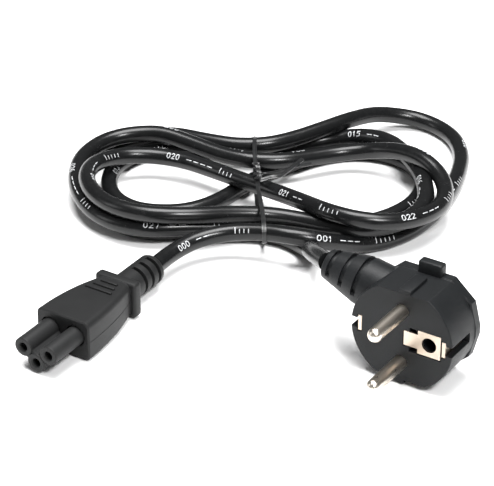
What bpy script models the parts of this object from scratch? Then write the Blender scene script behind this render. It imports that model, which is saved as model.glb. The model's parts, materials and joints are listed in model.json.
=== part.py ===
"""Power cord: a three-pole appliance connector, a hanked and tied round lead, and an angled mains plug.

Metres, +Z up. The plug and the connector stand and lie on the floor plane z = 0, and the origin is the
middle of their common footprint. The plug and the connector are each modelled about their own axes,
local Z being the way their contacts point, and are placed by an empty.
"""

import math

import bmesh
import bpy
from mathutils import Matrix, Vector

MM = 0.001
GAP = 0.3 * MM
ROUND_STEPS = 48
DOME_STEPS = 6
SHARP_ANGLE = math.radians(32.0)
HALF_TURN = 180.0

# The frame: where the lead's own drawing origin lies from the part's origin.
LAYOUT_SHIFT = Vector((0.4 * MM, 67.4 * MM, 0.0))
FIXTURE_YAW = math.radians(-33.0)

# The lead.
CORD_D = 6.1 * MM
CORD_RESOLUTION = 3
LEAD_STEP = 12.0 * MM
HANK_HEIGHT = 15.0 * MM
OUTLINE_STEP = 6.0 * MM
WAIST_SPAN = 6.0 * MM
TIE_WIRE_D = 1.6 * MM
TIE_CENTRE_X = 4.0 * MM
TIE_CHANNEL_W = 5.0 * MM
TIE_CORNER = 2.0 * MM

# The plug's round block.
PLUG_XY = (48.6 * MM, -90.4 * MM)
PLUG_R = 18.4 * MM
PLUG_FLAT = 15.9 * MM
PLUG_DEPTH = 19.6 * MM
PLUG_EDGE = 0.5 * MM
BACK_PLATE_T = 4.9 * MM
BACK_PLATE_STEP = 0.3 * MM
BACK_PLATE_CHAMFER = 1.6 * MM
BACK_PLATE_SHOULDER_IN = 1.8 * MM
BACK_PLATE_SHOULDER_UP = 9.8 * MM
BACK_PLATE_SIDE = 3.0 * MM
PIN_D = 4.8 * MM
PIN_LENGTH = 19.0 * MM
PIN_SPACING = 19.0 * MM
PIN_ROOT = 5.0 * MM
GUIDE_W = 4.3 * MM
GUIDE_HEIGHT = 2.1 * MM
GUIDE_LENGTH = 11.0 * MM
GUIDE_OFFSET = 0.6 * MM
GUIDE_SET_BACK = 0.15 * MM

# The plug's neck and strain relief.
NECK_R = 8.3 * MM
NECK_RISE = math.radians(8.6)
NECK_HEIGHT = 5.8 * MM
NECK_BACK = 11.0 * MM
NECK_LENGTH = 20.5 * MM
RELIEF_LENGTH = 13.6 * MM
RELIEF_END_R = 5.2 * MM
SLOT_W = 1.7 * MM
SLOT_DEPTH = 1.5 * MM
SLOT_PITCH = 5.6 * MM
SLOT_END = 3.0 * MM
UPPER_SLOTS = 3
LOWER_SLOTS = 2
UPPER_SLOT_START = -11.0
SLOT_SWEEP = 150.0

# The finger tab on the plug's back edge.
TAB_W = 8.5 * MM
TAB_RISE = 2.4 * MM
TAB_T = 3.6 * MM
TAB_OFFSET = 1.5 * MM

# Earth contacts of the plug: a plate with a hole in the face, and a spring strip in each side.
EARTH_CLEARANCE = 0.5 * MM
EARTH_HOLE_D = 5.2 * MM
EARTH_HOLE_DEPTH = 12.0 * MM
EARTH_PLATE_W = 8.4 * MM
EARTH_PLATE_L = 8.2 * MM
EARTH_TAB_W = 5.2 * MM
EARTH_TAB_L = 5.0 * MM
EARTH_PLATE_T = 0.9 * MM
EARTH_POCKET_DEPTH = 1.4 * MM
CLIP_W = 5.4 * MM
CLIP_T = 1.2 * MM
CLIP_LENGTH = 11.0 * MM
CLIP_INSET = 2.6 * MM
CLIP_MOUTH_W = 3.6 * MM

# The appliance connector.
CONNECTOR_XY = (-59.8 * MM, -71.9 * MM)
BODY_W = 21.0 * MM
BODY_H = 14.4 * MM
BODY_BACK_W = 12.6 * MM
BODY_BACK_H = 12.0 * MM
BODY_LENGTH = 27.6 * MM
BODY_CORNER = 2.2 * MM
BODY_TAPER = 2.2
BODY_SECTIONS = 8
FLANGE_W = 16.4 * MM
FLANGE_H = 12.8 * MM
FLANGE_T = 4.0 * MM
FLANGE_EDGE = 0.8 * MM
BOOT_D = 10.6 * MM
BOOT_LENGTH = 18.0 * MM
BOOT_CHAMFER = 1.2 * MM
BOOT_SLOT_W = 1.1 * MM
BOOT_SLOT_DEPTH = 1.1 * MM
BOOT_SLOT_PITCH = 3.9 * MM
BOOT_SLOT_COUNT = 3
BOOT_SLOT_START = -44.0
BOOT_SLOT_SWEEP = 158.0
BOOT_SLOT_END = 3.6 * MM
NOSE_LENGTH = 14.6 * MM
NOSE_ROOT = 1.5 * MM
NOSE_LOBE_D = 6.9 * MM
NOSE_SPACING = 10.0 * MM
NOSE_EARTH_DROP = 4.3 * MM
NOSE_RISE = 1.2 * MM
BORE_D = 3.0 * MM
BORE_DEPTH = 12.0 * MM
SLEEVE_LENGTH = 8.0 * MM
SLEEVE_WALL = 0.35 * MM

# Routes in millimetres on the lead's drawing: (x, y, z) of the centre line.
CONNECTOR_LEAD = [
    (-25.6, -20.5, 7.1),
    (-21.1, -16.5, 7.0),
    (-16.3, -12.9, 7.0),
    (-10.2, -10.5, 7.2),
]
PLUG_LEAD = [
    (17.1, -55.1, 29.0),
    (13.3, -48.6, 26.3),
    (11.0, -41.8, 22.8),
    (11.5, -34.9, 18.8),
    (13.2, -28.4, 14.5),
    (13.6, -21.7, 10.2),
    (11.4, -13.3, 5.5),
]
HANK_OUTER = [
    (-7.6, -10.2), (8.0, -10.8), (25.0, -11.2), (42.0, -11.0), (56.0, -6.0), (66.0, 4.0), (74.0, 16.0),
    (79.0, 31.0), (82.6, 48.0), (82.4, 66.0), (78.4, 82.0), (70.0, 92.5), (58.0, 96.6), (45.0, 93.0),
    (33.0, 82.0), (21.0, 72.0), (10.0, 68.2), (-2.0, 66.6), (-12.0, 68.0), (-22.0, 75.0), (-32.0, 80.4),
    (-43.0, 81.0), (-54.0, 76.0), (-62.0, 66.0), (-65.4, 52.0), (-66.0, 36.0), (-63.6, 20.0),
    (-57.0, 6.0), (-46.0, -4.0), (-32.0, -6.8), (-18.0, -6.2), (-11.6, -6.4), (-9.4, -8.2),
]
HANK_WINDOWS = [
    [(-8.5, 32.5), (-19.0, 24.0), (-30.0, 17.6), (-40.0, 19.4), (-46.0, 27.0), (-47.0, 38.0),
     (-42.0, 47.0), (-31.0, 48.6), (-19.0, 42.0)],
    [(5.0, 38.5), (20.0, 45.0), (42.0, 50.4), (53.0, 46.6), (57.0, 38.0), (55.6, 25.0), (48.0, 14.0),
     (38.0, 11.0), (27.0, 13.0), (14.0, 25.0)],
    [(-3.0, 27.6), (-17.0, 15.0), (-9.0, 10.0), (8.0, 8.4), (17.0, 10.4), (7.0, 20.0)],
]


# Scene, collections and materials.


def clear_scene():
    for obj in list(bpy.data.objects):
        bpy.data.objects.remove(obj, do_unlink=True)


def new_collection(name):
    collection = bpy.data.collections.new(name)
    bpy.context.scene.collection.children.link(collection)
    return collection


def new_material(name, colour, roughness, metallic=0.0):
    material = bpy.data.materials.new(name)
    material.use_nodes = True
    shader = material.node_tree.nodes["Principled BSDF"]
    shader.inputs["Base Color"].default_value = (*colour, 1.0)
    shader.inputs["Roughness"].default_value = roughness
    shader.inputs["Metallic"].default_value = metallic
    return material


def new_empty(name, collection, location, rotation):
    empty = bpy.data.objects.new(name, None)
    collection.objects.link(empty)
    empty.location = location
    empty.rotation_euler = rotation
    return empty


def fixture_matrix(empty):
    """The place of an unparented empty, before Blender has updated the scene."""
    return Matrix.Translation(empty.location) @ empty.rotation_euler.to_matrix().to_4x4()


# Shapes.


def mesh_object(name, bm, collection, material=None, parent=None, matrix=None):
    """Turns a bmesh into an object with faces out, smooth where it is round."""
    bmesh.ops.recalc_face_normals(bm, faces=bm.faces)
    mesh = bpy.data.meshes.new(name)
    bm.to_mesh(mesh)
    bm.free()
    mesh.shade_smooth()
    mesh.set_sharp_from_angle(angle=SHARP_ANGLE)
    obj = bpy.data.objects.new(name, mesh)
    collection.objects.link(obj)
    if material:
        mesh.materials.append(material)
    if matrix is not None:
        mesh.transform(matrix)
    if parent:
        obj.parent = parent
    return obj


def box_mesh(size, centre, edge=0.0):
    """A box, with its edges bevelled where an edge size is given."""
    bm = bmesh.new()
    bmesh.ops.create_cube(bm, size=1.0)
    bmesh.ops.scale(bm, vec=Vector(size), verts=bm.verts)
    if edge > 0.0:
        bmesh.ops.bevel(bm, geom=list(bm.edges), offset=edge, segments=2, profile=0.5, affect="EDGES")
    bmesh.ops.translate(bm, vec=Vector(centre), verts=bm.verts)
    return bm


def cylinder_mesh(radius, low, high, centre=(0.0, 0.0), steps=ROUND_STEPS):
    """A cylinder along local Z from low to high."""
    bm = bmesh.new()
    bmesh.ops.create_cone(
        bm, cap_ends=True, segments=steps, radius1=radius, radius2=radius, depth=high - low
    )
    middle = Vector((centre[0], centre[1], (low + high) / 2))
    bmesh.ops.translate(bm, vec=middle, verts=bm.verts)
    return bm


def turned(name, profile, collection, material=None, parent=None, steps=ROUND_STEPS):
    """A profile of (radius, height) points, top to bottom, turned about local Z."""
    mesh = bpy.data.meshes.new(name)
    points = [(radius, 0.0, height) for radius, height in profile]
    edges = [(i, i + 1) for i in range(len(points) - 1)]
    mesh.from_pydata(points, edges, [])
    obj = bpy.data.objects.new(name, mesh)
    collection.objects.link(obj)
    if material:
        mesh.materials.append(material)
    if parent:
        obj.parent = parent
    screw = obj.modifiers.new("turn", "SCREW")
    screw.axis = "Z"
    screw.steps = steps
    screw.render_steps = steps
    screw.use_merge_vertices = True
    screw.merge_threshold = 0.00001
    screw.use_smooth_shade = True
    return obj


def skin(loops):
    """Faces between loops of equal length, with flat ends."""
    bm = bmesh.new()
    rings = [[bm.verts.new(point) for point in loop] for loop in loops]
    count = len(rings[0])
    for first, second in zip(rings, rings[1:]):
        for i in range(count):
            j = (i + 1) % count
            bm.faces.new((first[i], first[j], second[j], second[i]))
    bm.faces.new(list(reversed(rings[0])))
    bm.faces.new(rings[-1])
    return bm


def rounded_rectangle(width, height, corner, z, corner_steps=4):
    """The points of a rounded rectangle at height z."""
    points = []
    for index, (sx, sy) in enumerate(((1, 1), (-1, 1), (-1, -1), (1, -1))):
        middle = Vector((sx * (width / 2 - corner), sy * (height / 2 - corner)))
        for step in range(corner_steps + 1):
            angle = math.radians(90.0) * (index + step / corner_steps)
            points.append((middle.x + corner * math.cos(angle), middle.y + corner * math.sin(angle), z))
    return points


def arc_slot(inner, outer, low, high, start, end, steps=12):
    """A ring sector about local Z, used to cut a slot in a round piece."""
    loops = []
    for step in range(steps + 1):
        angle = math.radians(start + (end - start) * step / steps)
        c, s = math.cos(angle), math.sin(angle)
        corners = ((inner, low), (outer, low), (outer, high), (inner, high))
        loops.append([(radius * c, radius * s, height) for radius, height in corners])
    return skin(loops)


def as_cutter(obj):
    obj.hide_render = True
    obj.display_type = "WIRE"
    return obj


def combine(target, tools, operation):
    """Adds or cuts each tool object, in order, with Boolean modifiers."""
    for tool in tools:
        modifier = target.modifiers.new(tool.name, "BOOLEAN")
        modifier.operation = operation
        modifier.object = tool


def catmull_rom(points, step, closed=False):
    """Points about one step apart on a smooth curve through the given points."""
    count = len(points)
    spans = count if closed else count - 1
    result = []
    for i in range(spans):
        if closed:
            p0, p1, p2, p3 = (points[(i + k) % count] for k in (-1, 0, 1, 2))
        else:
            p1, p2 = points[i], points[i + 1]
            p0 = points[i - 1] if i else p1 * 2 - p2
            p3 = points[i + 2] if i + 2 < count else p2 * 2 - p1
        parts = max(1, round((p2 - p1).length / step))
        for part in range(parts):
            t = part / parts
            result.append(
                0.5 * (2 * p1 + (p2 - p0) * t + (2 * p0 - 5 * p1 + 4 * p2 - p3) * t**2
                       + (3 * p1 - p0 - 3 * p2 + p3) * t**3)
            )
    if not closed:
        result.append(points[-1])
    return result


def tube(name, points, diameter, collection, material, resolution, cyclic=False):
    """A round tube along points, as a poly curve with a bevel and filled caps."""
    curve = bpy.data.curves.new(name, "CURVE")
    curve.dimensions = "3D"
    curve.bevel_depth = diameter / 2
    curve.bevel_resolution = resolution
    curve.use_fill_caps = not cyclic
    spline = curve.splines.new("POLY")
    spline.points.add(len(points) - 1)
    for target, point in zip(spline.points, points):
        target.co = (*point, 1.0)
    spline.use_cyclic_u = cyclic
    curve.materials.append(material)
    obj = bpy.data.objects.new(name, curve)
    collection.objects.link(obj)
    return obj


def outline_solid(name, outer, holes, height, collection, material):
    """A flat outline with holes, standing on z = 0, from a filled 2D curve."""
    curve = bpy.data.curves.new(name + "_outline", "CURVE")
    curve.dimensions = "2D"
    curve.fill_mode = "BOTH"
    curve.extrude = height / 2
    for loop in [outer, *holes]:
        spline = curve.splines.new("POLY")
        spline.points.add(len(loop) - 1)
        for target, point in zip(spline.points, loop):
            target.co = (point.x, point.y, 0.0, 1.0)
        spline.use_cyclic_u = True
    drawn = bpy.data.objects.new(name + "_outline", curve)
    collection.objects.link(drawn)
    bpy.context.view_layer.update()
    graph = bpy.context.evaluated_depsgraph_get()
    mesh = bpy.data.meshes.new_from_object(drawn.evaluated_get(graph))
    bpy.data.objects.remove(drawn, do_unlink=True)
    bm = bmesh.new()
    bm.from_mesh(mesh)
    bpy.data.meshes.remove(mesh)
    bmesh.ops.remove_doubles(bm, verts=bm.verts, dist=0.00001)
    bmesh.ops.translate(bm, vec=(0.0, 0.0, height / 2), verts=bm.verts)
    return mesh_object(name, bm, collection, material)


# The lead.


def on_layout(points):
    """Millimetres on the lead's drawing to metres in the part's frame."""
    return [Vector([value * MM for value in point]).to_3d() + LAYOUT_SHIFT for point in points]


def leaving(matrix, distance):
    """Two points where the lead comes out, on local Z of matrix and just past a distance along it."""
    return [matrix @ Vector((0.0, 0.0, distance + GAP + step)) for step in (0.0, CORD_D)]


def build_leads(collection, rubber, connector, plug):
    boot = fixture_matrix(connector) @ Matrix.Rotation(math.radians(HALF_TURN), 4, "Y")
    neck = fixture_matrix(plug) @ neck_matrix()
    starts = (leaving(boot, boot_end()), leaving(neck, NECK_LENGTH + RELIEF_LENGTH))
    names = ("cord_to_connector", "cord_to_plug")
    for name, start, route in zip(names, starts, (CONNECTOR_LEAD, PLUG_LEAD)):
        points = catmull_rom(start + on_layout(route), LEAD_STEP)
        tube(name, points, CORD_D, collection, rubber, CORD_RESOLUTION)


def build_hank(collection, cutters, rubber):
    outer = catmull_rom(on_layout(HANK_OUTER), OUTLINE_STEP, closed=True)
    windows = [catmull_rom(on_layout(window), OUTLINE_STEP, closed=True) for window in HANK_WINDOWS]
    hank = outline_solid("cord_hank", outer, windows, HANK_HEIGHT, collection, rubber)
    depth = TIE_WIRE_D + 2 * GAP
    length = 2 * max(point.y for point in outer)
    channel = box_mesh(
        (TIE_CHANNEL_W, length, 2 * depth), (TIE_CENTRE_X + LAYOUT_SHIFT.x, LAYOUT_SHIFT.y, 0.0)
    )
    cutter = as_cutter(mesh_object("tie_channel", channel, cutters))
    combine(hank, [cutter], "DIFFERENCE")
    return outer


def waist(outer, x):
    """The lowest and highest y of the outline near a line of constant x."""
    near = [point.y for point in outer if abs(point.x - x) < WAIST_SPAN]
    return min(near), max(near)


def build_tie(collection, outer, plastic):
    x = TIE_CENTRE_X + LAYOUT_SHIFT.x
    low_y, high_y = waist(outer, x)
    reach = TIE_WIRE_D / 2 + GAP
    low_y -= reach
    high_y += reach
    low_z = TIE_WIRE_D / 2
    high_z = HANK_HEIGHT + reach
    middle = ((low_y + high_y) / 2, (low_z + high_z) / 2)
    loop = rounded_rectangle(high_y - low_y, high_z - low_z, TIE_CORNER, x)
    points = [Vector((point[2], point[0] + middle[0], point[1] + middle[1])) for point in loop]
    tube("twist_tie", points, TIE_WIRE_D, collection, plastic, 2, cyclic=True)


# The plug.


def build_plug_body(collection, cutters, parent, plastic):
    back = -PLUG_DEPTH + BACK_PLATE_T / 2
    profile = [
        (0.0, 0.0),
        (PLUG_R - PLUG_EDGE, 0.0),
        (PLUG_R, -PLUG_EDGE),
        (PLUG_R, back),
        (0.0, back),
    ]
    body = turned("plug_body", profile, collection, plastic, parent, steps=64)
    combine(body, plug_flats(cutters, parent), "DIFFERENCE")
    joined = [plug_back(cutters, parent), plug_neck(cutters, parent), plug_tab(cutters, parent)]
    combine(body, joined + plug_guides(cutters, parent), "UNION")
    cuts = plug_slots(cutters, parent) + pin_roots(cutters, parent) + earth_pockets(cutters, parent)
    combine(body, cuts, "DIFFERENCE")
    return body


def plug_flats(cutters, parent):
    flats = []
    for name, side in (("flat_top", 1), ("flat_bottom", -1)):
        size = (3 * PLUG_R, 2 * (PLUG_R - PLUG_FLAT), 3 * PLUG_DEPTH)
        flat = box_mesh(size, (0.0, side * PLUG_R, 0.0))
        flats.append(as_cutter(mesh_object(name, flat, cutters, parent=parent)))
    return flats


def back_outline(inset, z):
    """The many-sided outline of the back plate at height z."""
    half_flat = math.sqrt(PLUG_R**2 - PLUG_FLAT**2)
    quarter = [
        Vector((PLUG_R + BACK_PLATE_STEP, BACK_PLATE_SIDE / 2)),
        Vector((PLUG_R - BACK_PLATE_SHOULDER_IN, BACK_PLATE_SHOULDER_UP)),
        Vector((half_flat, PLUG_FLAT + BACK_PLATE_STEP)),
    ]
    corners = [point * (1 - inset / point.length) for point in quarter]
    corners += [Vector((-point.x, point.y)) for point in reversed(corners)]
    corners += [Vector((-point.x, -point.y)) for point in corners]
    return [(point.x, point.y, z) for point in corners]


def plug_back(cutters, parent):
    front = -PLUG_DEPTH + BACK_PLATE_T
    loops = [
        back_outline(0.0, front),
        back_outline(0.0, -PLUG_DEPTH + BACK_PLATE_CHAMFER),
        back_outline(BACK_PLATE_CHAMFER, -PLUG_DEPTH),
    ]
    return as_cutter(mesh_object("back_plate", skin(loops), cutters, parent=parent))


def neck_matrix():
    """The neck's own axis, local Z outward, in the plug's frame."""
    turn = Matrix.Rotation(-math.radians(90.0), 4, "Y")
    rise = Matrix.Rotation(-NECK_RISE, 4, "Z")
    return Matrix.Translation((0.0, NECK_HEIGHT, -NECK_BACK)) @ rise @ turn


def plug_neck(cutters, parent):
    length = NECK_LENGTH + RELIEF_LENGTH
    profile = [
        (0.0, length),
        (RELIEF_END_R - PLUG_EDGE, length),
        (RELIEF_END_R, length - PLUG_EDGE),
        (NECK_R, NECK_LENGTH),
        (NECK_R, 0.0),
        (0.0, 0.0),
    ]
    neck = turned("neck", profile, cutters, parent=parent, steps=40)
    neck.matrix_local = neck_matrix()
    return as_cutter(neck)


def plug_tab(cutters, parent):
    back = -PLUG_DEPTH + BACK_PLATE_CHAMFER + TAB_T / 2
    tab = box_mesh((TAB_W, 2 * TAB_RISE, TAB_T), (TAB_OFFSET, PLUG_FLAT, back), PLUG_EDGE)
    return as_cutter(mesh_object("tab", tab, cutters, parent=parent))


def relief_radius(distance):
    """The neck's outer radius at a distance along it."""
    share = max(0.0, (distance - NECK_LENGTH) / RELIEF_LENGTH)
    return NECK_R + (RELIEF_END_R - NECK_R) * share


def plug_slots(cutters, parent):
    slots = []
    end = NECK_LENGTH + RELIEF_LENGTH - SLOT_END
    rows = [("upper", UPPER_SLOTS, end, UPPER_SLOT_START)]
    rows.append(("lower", LOWER_SLOTS, end - SLOT_PITCH / 2, UPPER_SLOT_START + HALF_TURN))
    for row, count, first, start in rows:
        for index in range(count):
            middle = first - index * SLOT_PITCH
            outer = relief_radius(middle)
            low, high = middle - SLOT_W / 2, middle + SLOT_W / 2
            slot = arc_slot(outer - SLOT_DEPTH, outer + SLOT_DEPTH, low, high, start, start + SLOT_SWEEP)
            name = f"relief_slot_{row}_{index}"
            slots.append(as_cutter(mesh_object(name, slot, cutters, parent=parent, matrix=neck_matrix())))
    return slots


def plug_guides(cutters, parent):
    guides = []
    for name, side in (("guide_top", 1), ("guide_bottom", -1)):
        size = (GUIDE_W, 2 * GUIDE_HEIGHT, GUIDE_LENGTH)
        middle = -GUIDE_LENGTH / 2 - GUIDE_SET_BACK
        guide = box_mesh(size, (side * GUIDE_OFFSET, side * PLUG_FLAT, middle))
        guides.append(as_cutter(mesh_object(name, guide, cutters, parent=parent)))
    return guides


def pin_roots(cutters, parent):
    roots = []
    for name, side in (("root_a", 1), ("root_b", -1)):
        root = cylinder_mesh(
            PIN_D / 2 + GAP, -PIN_ROOT, PIN_ROOT, (0.0, side * PIN_SPACING / 2), steps=32
        )
        roots.append(as_cutter(mesh_object(name, root, cutters, parent=parent)))
    return roots


def earth_centre():
    """The earth hole's distance from the plug's axis, set by the spring strip beside the plate."""
    return PLUG_R - CLIP_INSET - CLIP_T - EARTH_CLEARANCE - EARTH_PLATE_L / 2


def earth_outline(margin):
    """The face plate's stepped outline as (x, y) points, grown by a margin."""
    left = earth_centre() - EARTH_PLATE_L / 2 - margin
    right = earth_centre() + EARTH_PLATE_L / 2 + margin
    far_left = left - EARTH_TAB_L
    half = EARTH_PLATE_W / 2 + margin
    tab = EARTH_TAB_W / 2 + margin
    return [
        (far_left, tab), (far_left, -tab), (left, -tab), (left, -half),
        (right, -half), (right, half), (left, half), (left, tab),
    ]


def earth_pockets(cutters, parent):
    loops = [[(x, y, z) for x, y in earth_outline(GAP)] for z in (-EARTH_POCKET_DEPTH, PLUG_EDGE)]
    pocket = as_cutter(mesh_object("earth_pocket", skin(loops), cutters, parent=parent))
    hole = cylinder_mesh(EARTH_HOLE_D / 2, -EARTH_HOLE_DEPTH, PLUG_EDGE, (earth_centre(), 0.0), steps=32)
    cuts = [pocket, as_cutter(mesh_object("earth_hole", hole, cutters, parent=parent))]
    for name, side in (("left", -1), ("right", 1)):
        seat = PLUG_R - CLIP_INSET
        depth = CLIP_LENGTH + 2 * GAP
        size = (CLIP_T + 2 * GAP, CLIP_W + 2 * GAP, 2 * depth)
        slot = box_mesh(size, (side * (seat - CLIP_T / 2), 0.0, 0.0))
        cuts.append(as_cutter(mesh_object(f"clip_slot_{name}", slot, cutters, parent=parent)))
        mouth = box_mesh((2 * CLIP_INSET, CLIP_MOUTH_W, 2 * depth), (side * PLUG_R, 0.0, 0.0))
        cuts.append(as_cutter(mesh_object(f"clip_mouth_{name}", mouth, cutters, parent=parent)))
    return cuts


def build_pins(collection, parent, nickel):
    tip = PIN_D / 2
    for name, side in (("pin_line", 1), ("pin_neutral", -1)):
        profile = [(0.0, PIN_LENGTH)]
        for step in range(1, DOME_STEPS + 1):
            angle = math.radians(90.0) * step / DOME_STEPS
            profile.append((tip * math.sin(angle), PIN_LENGTH - tip * (1 - math.cos(angle))))
        profile += [(tip, -PIN_ROOT + GAP), (0.0, -PIN_ROOT + GAP)]
        pin = turned(name, profile, collection, nickel, parent, steps=32)
        pin.location = (0.0, side * PIN_SPACING / 2, 0.0)


def build_earth_contacts(collection, cutters, parent, nickel):
    low = -EARTH_POCKET_DEPTH + GAP
    loops = [[(x, y, z) for x, y in earth_outline(0.0)] for z in (low, low + EARTH_PLATE_T)]
    plate = mesh_object("earth_plate", skin(loops), collection, nickel, parent)
    hole = cylinder_mesh(EARTH_HOLE_D / 2, low - EARTH_PLATE_T, PLUG_EDGE, (earth_centre(), 0.0), steps=32)
    combine(plate, [as_cutter(mesh_object("plate_hole", hole, cutters, parent=parent))], "DIFFERENCE")
    for name, side in (("earth_clip_left", -1), ("earth_clip_right", 1)):
        centre = (side * (PLUG_R - CLIP_INSET - CLIP_T / 2), 0.0, -CLIP_LENGTH / 2 - GAP)
        clip = box_mesh((CLIP_T, CLIP_W, CLIP_LENGTH), centre)
        mesh_object(name, clip, collection, nickel, parent)


# The appliance connector.


def body_section(share):
    """Width and height of the connector's body, from its front at 0 to its flange at 1."""
    narrowing = share**BODY_TAPER
    width = BODY_W + (BODY_BACK_W - BODY_W) * narrowing
    height = BODY_H + (BODY_BACK_H - BODY_H) * narrowing
    return width, height


def build_connector_body(collection, cutters, parent, plastic):
    loops = []
    for step in range(BODY_SECTIONS + 1):
        share = step / BODY_SECTIONS
        width, height = body_section(share)
        loops.append(rounded_rectangle(width, height, BODY_CORNER, -share * BODY_LENGTH))
    body = mesh_object("connector_body", skin(loops), collection, plastic, parent)
    flange = box_mesh(
        (FLANGE_W, FLANGE_H, FLANGE_T), (0.0, 0.0, -BODY_LENGTH - FLANGE_T / 2 + PLUG_EDGE), FLANGE_EDGE
    )
    combine(body, [as_cutter(mesh_object("flange", flange, cutters, parent=parent))], "UNION")
    combine(body, [connector_boot(cutters, parent)], "UNION")
    combine(body, boot_slots(cutters, parent) + nose_seat(cutters, parent), "DIFFERENCE")
    return body


def boot_end():
    """How far behind the body's front face the boot ends."""
    return BODY_LENGTH + FLANGE_T + BOOT_LENGTH


def connector_boot(cutters, parent):
    end = -boot_end()
    radius = BOOT_D / 2
    profile = [
        (0.0, -BODY_LENGTH - PLUG_EDGE),
        (radius, -BODY_LENGTH - PLUG_EDGE),
        (radius, end + BOOT_CHAMFER),
        (radius - BOOT_CHAMFER, end),
        (0.0, end),
    ]
    return as_cutter(turned("boot", profile, cutters, None, parent, steps=40))


def boot_slots(cutters, parent):
    slots = []
    radius = BOOT_D / 2
    rows = [("right", 0.0, BOOT_SLOT_START), ("left", BOOT_SLOT_PITCH / 2, BOOT_SLOT_START + HALF_TURN)]
    for index in range(BOOT_SLOT_COUNT):
        for row, shift, start in rows:
            middle = -boot_end() + BOOT_SLOT_END + index * BOOT_SLOT_PITCH + shift
            low, high = middle - BOOT_SLOT_W / 2, middle + BOOT_SLOT_W / 2
            inner, outer = radius - BOOT_SLOT_DEPTH, radius + BOOT_SLOT_DEPTH
            slot = arc_slot(inner, outer, low, high, start, start + BOOT_SLOT_SWEEP)
            name = f"boot_slot_{row}_{index}"
            slots.append(as_cutter(mesh_object(name, slot, cutters, parent=parent)))
    return slots


def nose_centres():
    """The three bores of the nose: two above, the earth bore below between them."""
    half = NOSE_SPACING / 2
    low = NOSE_RISE - NOSE_EARTH_DROP
    return [("line", -half, NOSE_RISE), ("neutral", half, NOSE_RISE), ("earth", 0.0, low)]


def nose_solids(prefix, radius, low, high, collection, parent):
    """Round lobes about the bores, and the webs that join the earth lobe to the others."""
    solids = []
    centres = nose_centres()
    for name, x, y in centres:
        lobe = cylinder_mesh(radius, low, high, (x, y), steps=32)
        solids.append(mesh_object(f"{prefix}_{name}", lobe, collection, parent=parent))
    earth = Vector(centres[2][1:])
    for name, x, y in centres[:2]:
        across = Vector((x, y)) - earth
        web = box_mesh((across.length, 2 * radius, high - low), (across.length / 2, 0.0, (low + high) / 2))
        turn = Matrix.Translation((earth.x, earth.y, 0.0)) @ Matrix.Rotation(
            math.atan2(across.y, across.x), 4, "Z"
        )
        solids.append(mesh_object(f"{prefix}_web_{name}", web, collection, parent=parent, matrix=turn))
    return solids


def nose_seat(cutters, parent):
    radius = NOSE_LOBE_D / 2 + GAP
    seat = nose_solids("seat", radius, -NOSE_ROOT, NOSE_ROOT, cutters, parent)
    return [as_cutter(piece) for piece in seat]


def build_nose(collection, cutters, parent, plastic):
    radius = NOSE_LOBE_D / 2
    low = -NOSE_ROOT + GAP
    solids = nose_solids("nose", radius, low, NOSE_LENGTH, cutters, parent)
    first = solids[0]
    first.name = "connector_nose"
    cutters.objects.unlink(first)
    collection.objects.link(first)
    first.data.materials.append(plastic)
    combine(first, [as_cutter(piece) for piece in solids[1:]], "UNION")
    bores = []
    for name, x, y in nose_centres():
        bore = cylinder_mesh(
            BORE_D / 2, NOSE_LENGTH - BORE_DEPTH, NOSE_LENGTH + NOSE_ROOT, (x, y), steps=24
        )
        bores.append(as_cutter(mesh_object(f"bore_{name}", bore, cutters, parent=parent)))
    combine(first, bores, "DIFFERENCE")
    return first


def build_sleeves(collection, parent, brass):
    outer = BORE_D / 2 - GAP
    inner = outer - SLEEVE_WALL
    low = NOSE_LENGTH - BORE_DEPTH + GAP
    high = low + SLEEVE_LENGTH
    for name, x, y in nose_centres():
        floor = low + SLEEVE_WALL
        profile = [(0.0, floor), (inner, floor), (inner, high), (outer, high), (outer, low), (0.0, low)]
        sleeve = turned(f"contact_{name}", profile, collection, brass, parent, steps=24)
        sleeve.location = (x, y, 0.0)


# The whole part.


def main():
    clear_scene()
    parts = new_collection("power_cord")
    cutters = new_collection("cutters")
    rubber = new_material("cord_pvc", (0.022, 0.023, 0.026), 0.32)
    plastic = new_material("plug_plastic", (0.036, 0.039, 0.044), 0.5)
    grey = new_material("connector_plastic", (0.052, 0.053, 0.056), 0.55)
    nickel = new_material("nickel", (0.82, 0.79, 0.75), 0.18, 1.0)
    brass = new_material("contact_brass", (0.76, 0.6, 0.32), 0.3, 1.0)
    tie = new_material("tie_plastic", (0.02, 0.02, 0.022), 0.4)

    upright = (math.radians(90.0), 0.0, FIXTURE_YAW)
    plug_place = Vector((*PLUG_XY, PLUG_FLAT + GUIDE_HEIGHT)) + LAYOUT_SHIFT
    connector_place = Vector((*CONNECTOR_XY, BODY_H / 2)) + LAYOUT_SHIFT
    plug = new_empty("plug_place", parts, plug_place, upright)
    connector = new_empty("connector_place", parts, connector_place, upright)

    build_plug_body(parts, cutters, plug, plastic)
    build_pins(parts, plug, nickel)
    build_earth_contacts(parts, cutters, plug, nickel)
    build_connector_body(parts, cutters, connector, grey)
    build_nose(parts, cutters, connector, grey)
    build_sleeves(parts, connector, brass)
    build_leads(parts, rubber, connector, plug)
    outer = build_hank(parts, cutters, rubber)
    build_tie(parts, outer, tie)


main()
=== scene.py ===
"""Looks of a mains power cord: its looped lead, twist tie, plug and appliance connector.

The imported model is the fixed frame. The cord, the tie, the plug's moulding and the connector's
moulding are built here as finished pieces that stand for their plain CAD solids, and the metal
parts keep their CAD solids and get a finish. Everything is in metres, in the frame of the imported
model.
"""

import json
import logging
import math
from collections.abc import Iterable, Mapping, Sequence
from dataclasses import dataclass, field
from enum import Enum

import bmesh
import bpy
import numpy as np
from mathutils import Matrix, Vector

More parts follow.
